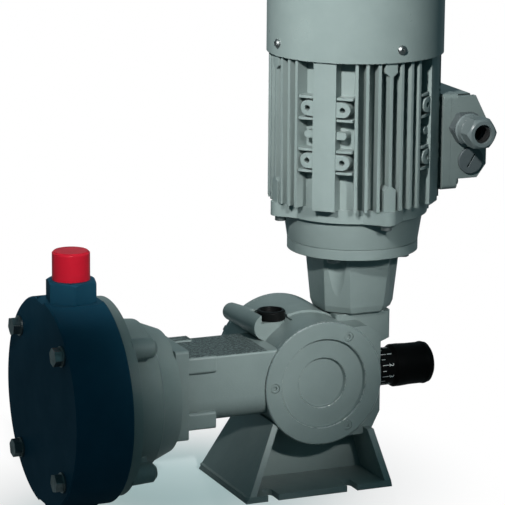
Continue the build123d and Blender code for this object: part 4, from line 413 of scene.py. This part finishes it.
@dataclass(frozen=True)
class Paint:
    """Enamel over a casting or sheet metal."""

    name: str
    tone: Colour
    shade: Colour
    gloss: float = 0.34
    relief: float = 0.00025
    grain_share: float = 0.3
    shine: float = 0.5
    edge: float = 0.0007
    rough_top: bool = False
    chip_rings: tuple[float, ...] = ()
    chip_width: float = 0.9 * MM

    def build(self, effects: Effects) -> bpy.types.Material:
        """Makes the paint.

        Args:
            effects: shared node groups.

        Returns:
            The material.
        """
        material, shader, surface = new_material(self.name)
        patches = shader.group(effects.mottle, Scale=22.0, Sharpness=0.22)
        colour = shader.blend(patches, self.shade, self.tone)
        roughness = shader.blend_number(patches, self.gloss + 0.08, self.gloss)
        height = shader.group(effects.cast_skin, Grain=1100.0, Waves=70.0, Grain_Share=self.grain_share)
        if self.rough_top:
            stipple = self._rough_patch(shader)
            pits = shader.noise(PIT_SCALE, 4.0, 0.75)
            # Painted shade in the pits: where the pit relief is low, the colour turns dark.
            pit_shaded = shader.blend(shader.step(pits, 0.44, 0.62), PIT_PAINTED_SHADE, self.tone)
            colour = shader.blend(stipple, colour, pit_shaded)
            height = shader.blend_number(stipple, height, shader.math("MULTIPLY", pits, PIT_DEPTH))
            roughness = shader.blend_number(stipple, roughness, PIT_ROUGHNESS)
        metallic: object = 0.0
        for radius in self.chip_rings:
            chips = shader.group(effects.ring_chips, Radius=radius, Width=self.chip_width, Amount=0.75)
            colour = shader.blend(chips, colour, BARE_METAL)
            metallic = shader.math("MAXIMUM", metallic, chips)
        shader.link(colour, surface.inputs["Base Color"])
        shader.link(roughness, surface.inputs["Roughness"])
        shader.feed(surface.inputs["Metallic"], metallic)
        surface.inputs["Specular IOR Level"].default_value = self.shine
        shader.link(bump(shader, height, self.relief, self.edge), surface.inputs["Normal"])
        return material

    @staticmethod
    def _rough_patch(shader: Shader) -> bpy.types.NodeSocket:
        """Mask of the unmachined top of the barrel.

        Args:
            shader: helper of the material.

        Returns:
            1 on the rough face and 0 elsewhere.
        """
        point = shader.axes(shader.object_point())
        facing = shader.axes(shader.add("ShaderNodeNewGeometry").outputs["Normal"])
        upward = shader.step(facing["Z"], 0.7, 0.95)
        left = shader.math("LESS_THAN", point["X"], BARREL_END_X)
        high = shader.math("GREATER_THAN", point["Z"], BARREL_TOP_Z)
        return shader.math("MULTIPLY", shader.math("MULTIPLY", upward, left), high)


@dataclass(frozen=True)
class Plastic:
    """Moulded or turned plastic."""

    name: str
    tone: Colour
    shade: Colour
    gloss: float = 0.35
    relief: float = 0.00006
    edge: float = 0.0006
    shine: float = 0.35
    threads: tuple[tuple[float, float], ...] = ()

    def build(self, effects: Effects) -> bpy.types.Material:
        """Makes the plastic.

        Args:
            effects: shared node groups.

        Returns:
            The material.
        """
        material, shader, surface = new_material(self.name)
        patches = shader.group(effects.mottle, Scale=45.0, Sharpness=0.3)
        shader.link(shader.blend(patches, self.shade, self.tone), surface.inputs["Base Color"])
        shader.link(shader.blend_number(patches, self.gloss + 0.07, self.gloss), surface.inputs["Roughness"])
        surface.inputs["Specular IOR Level"].default_value = self.shine
        height = shader.group(effects.cast_skin, Grain=1500.0, Waves=90.0, Grain_Share=0.5)
        distance = self.relief
        if self.threads:
            distance = THREAD_DEPTH
            height = shader.math("MULTIPLY", height, self.relief / distance)
        for low, high in self.threads:
            grooves = shader.group(effects.grooves, Low=low, High=high, Pitch=THREAD_PITCH)
            height = shader.math("ADD", height, grooves)
        shader.link(bump(shader, height, distance, self.edge), surface.inputs["Normal"])
        return material


@dataclass(frozen=True)
class Metal:
    """Bare or plated metal."""

    name: str
    tone: Colour
    shade: Colour
    gloss: float = 0.3
    relief: float = 0.00004
    edge: float = 0.0004

    def build(self, effects: Effects) -> bpy.types.Material:
        """Makes the metal.

        Args:
            effects: shared node groups.

        Returns:
            The material.
        """
        material, shader, surface = new_material(self.name)
        patches = shader.group(effects.mottle, Scale=160.0, Sharpness=0.3)
        shader.link(shader.blend(patches, self.shade, self.tone), surface.inputs["Base Color"])
        shader.link(shader.blend_number(patches, self.gloss + 0.16, self.gloss), surface.inputs["Roughness"])
        surface.inputs["Metallic"].default_value = 1.0
        height = shader.group(effects.cast_skin, Grain=2500.0, Waves=300.0, Grain_Share=0.6)
        shader.link(bump(shader, height, self.relief, self.edge), surface.inputs["Normal"])
        return material


ENAMEL: Colour = (0.195, 0.240, 0.230)
ENAMEL_SHADE: Colour = (0.170, 0.212, 0.204)
# Dark colour painted into the pits of the rough barrel top as shade.
PIT_PAINTED_SHADE: Colour = (0.045, 0.062, 0.062)
# Enamel of the terminal box, about a quarter darker than the rest of the enamel: painted shade for the box's
# shadowed side.
SHADED_BOX_ENAMEL = Paint("box enamel with painted shade", (0.150, 0.185, 0.178), (0.130, 0.162, 0.156), 0.26, 0.0002, 0.25)
BOLT_METAL = Metal("dark zinc", (0.30, 0.33, 0.33), (0.14, 0.16, 0.16), 0.28)

SLOT_FINISHES: dict[str, Paint | Plastic | Metal] = {
    "head_plastic": Plastic("deep blue plastic", (0.013, 0.068, 0.112), (0.011, 0.058, 0.096), 0.5, shine=0.05,
                            threads=((0.1842, 0.198), (-0.028, -0.0142))),
    "casting_paint": Paint("casting enamel", ENAMEL, ENAMEL_SHADE, 0.32, 0.0004, 0.25),
    "motor_paint": Paint("motor enamel", ENAMEL, ENAMEL_SHADE, 0.36, 0.00025, 0.3, edge=0.0005),
    "sheet_paint": Paint("sheet enamel", ENAMEL, ENAMEL_SHADE, 0.26, 0.00008, 0.2),
    "cap_red": Plastic("red cap", (0.62, 0.012, 0.030), (0.56, 0.010, 0.026), 0.3, shine=0.2),
    "knob_black": Plastic("knob black", (0.004, 0.004, 0.004), (0.003, 0.003, 0.003), 0.42, shine=0.05),
    "plug_black": Plastic("plug black", (0.005, 0.006, 0.006), (0.004, 0.004, 0.004), 0.34, shine=0.08),
    "zinc_steel": Metal("zinc-plated steel", (0.34, 0.36, 0.35), (0.16, 0.17, 0.17), 0.34),
    "steel": Metal("ground steel", (0.50, 0.50, 0.51), (0.42, 0.42, 0.43), 0.24),
    "stainless": Metal("polished stainless", (0.60, 0.60, 0.60), (0.55, 0.55, 0.55), 0.12),
    "bronze": Metal("machined bronze", (0.50, 0.30, 0.12), (0.42, 0.25, 0.10), 0.3),
    "rubber": Plastic("black rubber", (0.016, 0.016, 0.016), (0.012, 0.012, 0.012), 0.62),
    "ptfe": Plastic("white fluoropolymer", (0.72, 0.72, 0.69), (0.66, 0.66, 0.63), 0.42),
    "copper": Metal("varnished copper", (0.48, 0.20, 0.08), (0.38, 0.15, 0.06), 0.38, 0.0003),
    "lamination": Metal("laminations", (0.24, 0.24, 0.25), (0.20, 0.20, 0.21), 0.45),
    "rotor_metal": Metal("rotor steel", (0.40, 0.40, 0.41), (0.34, 0.34, 0.35), 0.38),
    "sleeve_metal": Metal("satin aluminium", (0.62, 0.63, 0.63), (0.54, 0.55, 0.55), 0.34),
    "gland_grey": Plastic("grey polyamide", (0.15, 0.18, 0.18), (0.12, 0.15, 0.15), 0.3),
    "box_plug": Plastic("dark polyamide", (0.075, 0.092, 0.095), (0.060, 0.075, 0.078), 0.4),
    "board": Plastic("phenolic", (0.20, 0.08, 0.03), (0.16, 0.06, 0.025), 0.45),
}

NODE_FINISHES: dict[str, Paint | Plastic | Metal] = {
    "gear_housing": Paint("housing enamel", ENAMEL, ENAMEL_SHADE, 0.32, 0.0004, 0.25, rough_top=True),
    "side_cover": Paint("cover enamel", ENAMEL, ENAMEL_SHADE, 0.3, 0.0003, 0.2,
                        chip_rings=(0.0498, 0.0362, 0.0204)),
    "side_cover_screws": Paint("painted screws", ENAMEL, ENAMEL_SHADE, 0.3, 0.0001, 0.2),
    "terminal_box_base": SHADED_BOX_ENAMEL,
    "terminal_box_lid": SHADED_BOX_ENAMEL,
    "head_bolts": BOLT_METAL,
    "head_washers": BOLT_METAL,
    "rear_cover": Paint("rear cover enamel", ENAMEL, ENAMEL_SHADE, 0.3, 0.0003, 0.2, chip_rings=(0.0502,)),
}


# ------------------------------------------------------------------ modelling bench
class Bench:
    """Modelling steps shared by every sub-assembly."""

    SMOOTH_ANGLE = 35.0

    @staticmethod
    def clear() -> None:
        """Leaves edit mode with nothing selected."""
        if bpy.context.object and bpy.context.object.mode != "OBJECT":
            bpy.ops.object.mode_set(mode="OBJECT")
        bpy.ops.object.select_all(action="DESELECT")

    @classmethod
    def open(cls, piece: bpy.types.Object) -> None:
        """Takes a piece into edit mode with nothing selected.

        Args:
            piece: mesh object.
        """
        cls.clear()
        piece.select_set(True)
        bpy.context.view_layer.objects.active = piece
        bpy.ops.object.mode_set(mode="EDIT")
        bpy.ops.mesh.select_all(action="DESELECT")

    @staticmethod
    def pick_faces(piece: bpy.types.Object, test: Callable[[Vector], bool]) -> None:
        """Selects the faces whose normal passes a test.

        Args:
            piece: mesh object that is in edit mode.
            test: function of a face's normal.
        """
        bpy.ops.mesh.select_all(action="DESELECT")
        bpy.ops.mesh.select_mode(type="FACE")
        bpy.ops.object.mode_set(mode="OBJECT")
        for face in piece.data.polygons:
            face.select = test(face.normal)
        bpy.ops.object.mode_set(mode="EDIT")

    @classmethod
    def settle(cls, piece: bpy.types.Object) -> None:
        """Moves a piece's place into its mesh.

        Args:
            piece: mesh object.
        """
        cls.clear()
        piece.select_set(True)
        bpy.context.view_layer.objects.active = piece
        bpy.ops.object.transform_apply(location=True, rotation=True, scale=True)

    @classmethod
    def finish(
        cls, piece: bpy.types.Object, name: str, body: Body, slot: str, material: bpy.types.Material,
    ) -> None:
        """Names a new piece, paints it and lets it ride on a body.

        Args:
            piece: mesh object.
            name: name of the piece.
            body: body that it moves with.
            slot: the record's material slot that it belongs to; not used.
            material: its finish.
        """
        cls.settle(piece)
        piece.name = name
        piece.data.name = name
        piece.data.materials.clear()
        piece.data.materials.append(material)
        bpy.ops.object.shade_smooth_by_angle(angle=math.radians(cls.SMOOTH_ANGLE))
        cls.clear()
        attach(piece, body.value)
        LOG.info("piece %s rides on %s with %d faces", name, body.value, len(piece.data.polygons))

    @classmethod
    def join(cls, pieces: Iterable[bpy.types.Object]) -> bpy.types.Object:
        """Makes one object of several.

        Args:
            pieces: mesh objects.

        Returns:
            The joined object.
        """
        pieces = list(pieces)
        cls.clear()
        for piece in pieces:
            piece.select_set(True)
        bpy.context.view_layer.objects.active = pieces[0]
        bpy.ops.object.join()
        cls.clear()
        return pieces[0]


def along_x(angle: float, x: float, radius: float) -> Matrix:
    """Place on a cylinder round the push rod axis, with local Z pointing outwards and local X along +X.

    Args:
        angle: angle round the axis from straight up towards the front (-Y), in radians.
        x: station along the axis.
        radius: distance from the axis.

    Returns:
        The placing matrix.
    """
    centre = Matrix.Translation((x, 0.0, AXIS_Z))
    return centre @ Matrix.Rotation(angle, 4, "X") @ Matrix.Translation((0.0, 0.0, radius))


@dataclass
class StrokeScale:
    """Graduations of the stroke knob and of its fixed sleeve."""

    thimble_radius: float = 15.2 * MM
    thimble_start: float = 58.0 * MM
    sleeve_radius: float = 12.5 * MM
    sleeve_start: float = 52.0 * MM
    divisions: int = 20
    line_width: float = 0.45 * MM
    long_line: float = 5.2 * MM
    short_line: float = 3.2 * MM
    line_thickness: float = 0.2 * MM
    line_margin: float = 0.9 * MM
    figure_size: float = 5.6 * MM
    figure_thickness: float = 0.05 * MM
    figure_place: float = 66.6 * MM
    proud: float = 0.04 * MM
    datum_length: float = 5.4 * MM
    datum_angle: float = 60.0

    def build(self, white: bpy.types.Material, dark: bpy.types.Material) -> None:
        """Models the lines and figures on the thimble and the datum line on the sleeve.

        Args:
            white: finish of the knob's marks.
            dark: finish of the sleeve's marks.
        """
        lines = [self._line(i) for i in range(self.divisions)]
        figures = [self._figure(i) for i in range(self.divisions // 2)]
        Bench.finish(Bench.join(lines + figures), "knob_scale", Body.STROKE_KNOB, "knob_black", white)
        Bench.finish(self._datum(), "sleeve_scale", Body.PUMP, "sleeve_metal", dark)

    def _bar(self, length: float) -> bpy.types.Object:
        """Thin rectangular bar with a narrow border round its top face, centred on the origin."""
        Bench.clear()
        bpy.ops.mesh.primitive_cube_add(size=1.0)
        bar = bpy.context.object
        bar.scale = (length, self.line_width, self.line_thickness)
        Bench.settle(bar)
        Bench.open(bar)
        Bench.pick_faces(bar, lambda normal: normal.z > 0.9)
        bpy.ops.mesh.inset(thickness=self.line_width * 0.12, depth=0.0)
        Bench.clear()
        return bar

    def _line(self, index: int) -> bpy.types.Object:
        """One line of the thimble's scale; every second one is long."""
        length = self.long_line if index % 2 == 0 else self.short_line
        bar = self._bar(length)
        angle = 2 * math.pi * index / self.divisions
        middle = self.thimble_start + self.line_margin + length / 2
        bar.matrix_world = along_x(angle, middle, self.thimble_radius + self.proud - self.line_thickness / 2)
        return bar

    def _figure(self, index: int) -> bpy.types.Object:
        """One figure, curved to the thimble, with its top towards the grip."""
        Bench.clear()
        bpy.ops.object.text_add()
        text = bpy.context.object
        text.data.body = str(index)
        text.data.size = self.figure_size
        text.data.align_x = "CENTER"
        text.data.align_y = "CENTER"
        text.data.extrude = self.figure_thickness
        text.data.resolution_u = 3
        bpy.ops.object.convert(target="MESH")
        figure = bpy.context.object
        Bench.open(figure)
        bpy.ops.mesh.select_all(action="SELECT")
        bpy.ops.mesh.remove_doubles(threshold=1e-7)
        Bench.clear()
        angle = 2 * math.pi * index * 2 / self.divisions
        radius = self.thimble_radius + self.proud
        for vertex in figure.data.vertices:
            side, up, lift = vertex.co
            turn = angle + side / radius
            reach = radius + lift
            vertex.co = (self.figure_place + up, -math.sin(turn) * reach, AXIS_Z + math.cos(turn) * reach)
        return figure

    def _datum(self) -> bpy.types.Object:
        """Datum line along the fixed sleeve."""
        bar = self._bar(self.datum_length)
        middle = self.sleeve_start + 3.0 * MM
        radius = self.sleeve_radius + self.proud - self.line_thickness / 2
        bar.matrix_world = along_x(math.radians(self.datum_angle), middle, radius)
        return bar


@dataclass
class CableEntry:
    """Rubber seal in the mouth of the cable gland."""

    x: float = 124.0 * MM
    z: float = 281.0 * MM
    mouth_y: float = -53.0 * MM
    outer: float = 7.45 * MM
    inner: float = 5.6 * MM
    depth: float = 6.0 * MM
    sink: float = 3.0 * MM

    def build(self, rubber: bpy.types.Material) -> None:
        """Models the seal as a ring.

        Args:
            rubber: finish of the seal.
        """
        Bench.clear()
        bpy.ops.mesh.primitive_cylinder_add(vertices=48, radius=self.outer, depth=self.depth)
        seal = bpy.context.object
        Bench.open(seal)
        Bench.pick_faces(seal, lambda normal: abs(normal.z) > 0.9)
        bpy.ops.mesh.inset(thickness=self.outer - self.inner, depth=0.0)
        bpy.ops.mesh.bridge_edge_loops()
        Bench.clear()
        seal.matrix_world = (
            Matrix.Translation((self.x, self.mouth_y + self.sink + self.depth / 2, self.z))
            @ Matrix.Rotation(math.radians(90), 4, "X")
        )
        Bench.finish(seal, "gland_seal", Body.PUMP, "rubber", rubber)


# ------------------------------------------------------------------ studio
@dataclass(frozen=True)
class Spot:
    """A spot light with a wide soft edge."""

    name: str
    place: Point
    target: Point
    cone: float
    watts: float
    glint: bool = True
    size: float = 50.0 * MM

    def build(self) -> None:
        """Adds the light; without glint it makes no highlight."""
        Bench.clear()
        bpy.ops.object.light_add(type="SPOT", location=self.place)
        lamp = bpy.context.object
        lamp.name = self.name
        lamp.data.energy = self.watts
        lamp.data.spot_size = math.radians(self.cone)
        lamp.data.spot_blend = 1.0
        lamp.data.shadow_soft_size = self.size
        lamp.visible_glossy = self.glint
        lamp.rotation_euler = (Vector(self.target) - Vector(self.place)).to_track_quat("-Z", "Y").to_euler()


@dataclass
class Studio:
    """Floor, lights, world and camera."""

    camera_place: Point = (-0.91677, -2.04433, 0.71194)
    azimuth: float = -22.9925
    elevation: float = 13.2501
    roll: float = 0.4332
    focal_pixels: float = 2908.2
    image_pixels: float = 505.0
    sensor: float = 36.0
    floor_size: float = 9.0
    floor_y: float = 1.5
    floor_gap: float = 0.2 * MM
    table_edge_x: float = -0.176
    floor_drop: float = 0.0345
    # Painted shadow on the floor: a blue-green patch round this centre. It is full within the radius and fades
    # into white over the reach, and near the object the glow shows it at this share.
    pool_centre: Point = (-0.11, 0.02, 0.0)
    pool_radius: float = 0.03
    pool_reach: float = 0.17
    pool_colour: Colour = (0.50, 0.68, 0.68)
    pool_glow: float = 0.55
    floor_reach: float = 0.27
    floor_colour: Colour = (0.90, 0.93, 0.93)
    floor_bounce: Colour = (0.42, 0.46, 0.46)
    ambient: Colour = (0.06, 0.135, 0.155)
    mirror_share: float = 0.08
    spots: tuple[Spot, ...] = (
        Spot("motor_key", (-0.83, -0.87, 1.05), (0.0, 0.0, 0.375), 17.0, 165.0),
        Spot("body_key", (0.02, -1.1, 0.75), (-0.04, -0.05, 0.17), 13.5, 76.0),
        Spot("cap_key", (-0.5, -0.9, 0.9), (-0.2, -0.01, 0.214), 3.6, 200.0),
        Spot("back_fill", (0.55, 1.6, 0.4), (0.02, 0.0, 0.22), 30.0, 40.0, glint=False),
    )

    def build(self) -> None:
        """Sets up everything round the object."""
        self._floor()
        self._world()
        for spot in self.spots:
            spot.build()
        self._camera()

    def _floor(self) -> None:
        """Pale table with a lower floor beside it, where the suction port hangs down."""
        material = self._floor_material()
        half = self.floor_size / 2
        for name, low_x, high_x, z in (
            ("table", self.table_edge_x, half, -self.floor_gap),
            ("low_floor", -half, half, -self.floor_drop),
        ):
            Bench.clear()
            bpy.ops.mesh.primitive_plane_add(size=1.0, location=((low_x + high_x) / 2, self.floor_y, z))
            plane = bpy.context.object
            plane.scale = (high_x - low_x, self.floor_size, 1.0)
            Bench.settle(plane)
            plane.name = name
            if name == "table":
                Bench.open(plane)
                bpy.ops.mesh.select_all(action="SELECT")
                edge_drop = (0.0, 0.0, 2 * self.floor_gap - self.floor_drop)
                bpy.ops.mesh.extrude_region_move(TRANSFORM_OT_translate={"value": edge_drop})
                Bench.clear()
            plane.data.materials.append(material)

    def _floor_material(self) -> bpy.types.Material:
        """Floor that the camera sees as white far off; round the object it mixes the lit floor with a painted
        blue-green shadow that glows at its own colour.
        """
        material, shader, surface = new_material("pale floor")
        surface.inputs["Roughness"].default_value = 0.6
        surface.inputs["Specular IOR Level"].default_value = 0.1
        reach = shader.add("ShaderNodeVectorMath", operation="DISTANCE")
        shader.link(shader.object_point(), reach.inputs[0])
        reach.inputs[1].default_value = self.pool_centre
        # Mask of the painted shadow: 0 at its centre, 1 where it has faded into white.
        pale = shader.step(reach.outputs["Value"], self.pool_radius, self.pool_reach)
        far = shader.step(reach.outputs["Value"], self.pool_radius, self.floor_reach)
        seen = shader.seen_directly(self.mirror_share)
        shader.link(shader.blend(seen, self.floor_bounce, self.floor_colour), surface.inputs["Base Color"])
        glow = shader.add("ShaderNodeEmission")
        # The glow shows the painted shadow's blue-green near the object and white farther off.
        shader.link(shader.blend(pale, self.pool_colour, WHITE), glow.inputs["Color"])
        mix = shader.add("ShaderNodeMixShader")
        glow_share = shader.blend_number(far, self.pool_glow, 1.0)
        shader.link(shader.math("MULTIPLY", seen, glow_share), mix.inputs[0])
        shader.link(surface.outputs[0], mix.inputs[1])
        shader.link(glow.outputs[0], mix.inputs[2])
        shader.link(mix.outputs[0], shader.tree.nodes["Material Output"].inputs["Surface"])
        return material

    def _world(self) -> None:
        """White backdrop for the camera, faint in reflections, and dim blue-green light elsewhere."""
        world = bpy.data.worlds.new("studio")
        bpy.context.scene.world = world
        world.use_nodes = True
        shader = Shader(world.node_tree)
        background = world.node_tree.nodes["Background"]
        direction = shader.axes(shader.add("ShaderNodeTexCoord").outputs["Generated"])
        backdrop = shader.step(direction["Y"], -0.1, 0.5)
        seen = shader.seen_directly(shader.math("MULTIPLY", backdrop, self.mirror_share))
        shader.link(shader.blend(seen, self.ambient, WHITE), background.inputs["Color"])

    def _camera(self) -> None:
        """Camera at the matched place, with its small roll."""
        azimuth = math.radians(self.azimuth)
        elevation = math.radians(self.elevation)
        roll = math.radians(self.roll)
        level_back = Vector((math.sin(azimuth), -math.cos(azimuth), 0.0))
        back = level_back * math.cos(elevation) + Vector((0.0, 0.0, math.sin(elevation)))
        level_right = (-back).cross(Vector((0.0, 0.0, 1.0))).normalized()
        level_up = back.cross(level_right)
        right = level_right * math.cos(roll) + level_up * math.sin(roll)
        up = -level_right * math.sin(roll) + level_up * math.cos(roll)
        Bench.clear()
        bpy.ops.object.camera_add()
        camera = bpy.context.object
        place = Matrix.Identity(4)
        for column, vector in enumerate((right, up, back, Vector(self.camera_place))):
            for row in range(3):
                place[row][column] = vector[row]
        camera.matrix_world = place
        camera.data.sensor_width = self.sensor
        camera.data.lens = self.focal_pixels / self.image_pixels * self.sensor
        camera.data.clip_end = 50.0
        bpy.context.scene.camera = camera
        bpy.context.scene.view_settings.view_transform = "Standard"


# ------------------------------------------------------------------ dressing of the CAD pieces
class Dressing:
    """Gives every CAD piece its finish."""

    def __init__(self, frame: dict[str, object], effects: Effects) -> None:
        """Builds the finishes that the record names.

        Args:
            frame: the loaded frame.
            effects: shared node groups.
        """
        self.frame = frame
        finishes = {**SLOT_FINISHES, **NODE_FINISHES}.values()
        built = {finish: finish.build(effects) for finish in dict.fromkeys(finishes)}
        self.by_slot = {slot: built[finish] for slot, finish in SLOT_FINISHES.items()}
        self.by_node = {node: built[finish] for node, finish in NODE_FINISHES.items()}

    def apply(self) -> None:
        """Paints the CAD pieces."""
        for part in self.frame["record"]["subparts"]:
            node = part["node"]
            material = self.by_node.get(node, self.by_slot[part["material_slot"]])
            piece = self.frame["nodes"][node]
            for material_slot in piece.material_slots:
                material_slot.material = material
            LOG.info("painted %s with %s", node, material.name)


def main() -> None:
    """Builds the scene in order."""
    logging.basicConfig(level=logging.INFO, format="%(name)s: %(message)s")
    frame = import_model()
    effects = Effects()
    dressing = Dressing(frame, effects)
    dressing.apply()
    white = Plastic("scale white", (0.78, 0.78, 0.76), (0.70, 0.70, 0.68), 0.5, edge=0.0).build(effects)
    dark = Plastic("scale dark", (0.02, 0.02, 0.02), (0.02, 0.02, 0.02), 0.5, edge=0.0).build(effects)
    StrokeScale().build(white, dark)
    CableEntry().build(dressing.by_slot["rubber"])
    Studio().build()


if __name__ == "__main__":
    main()
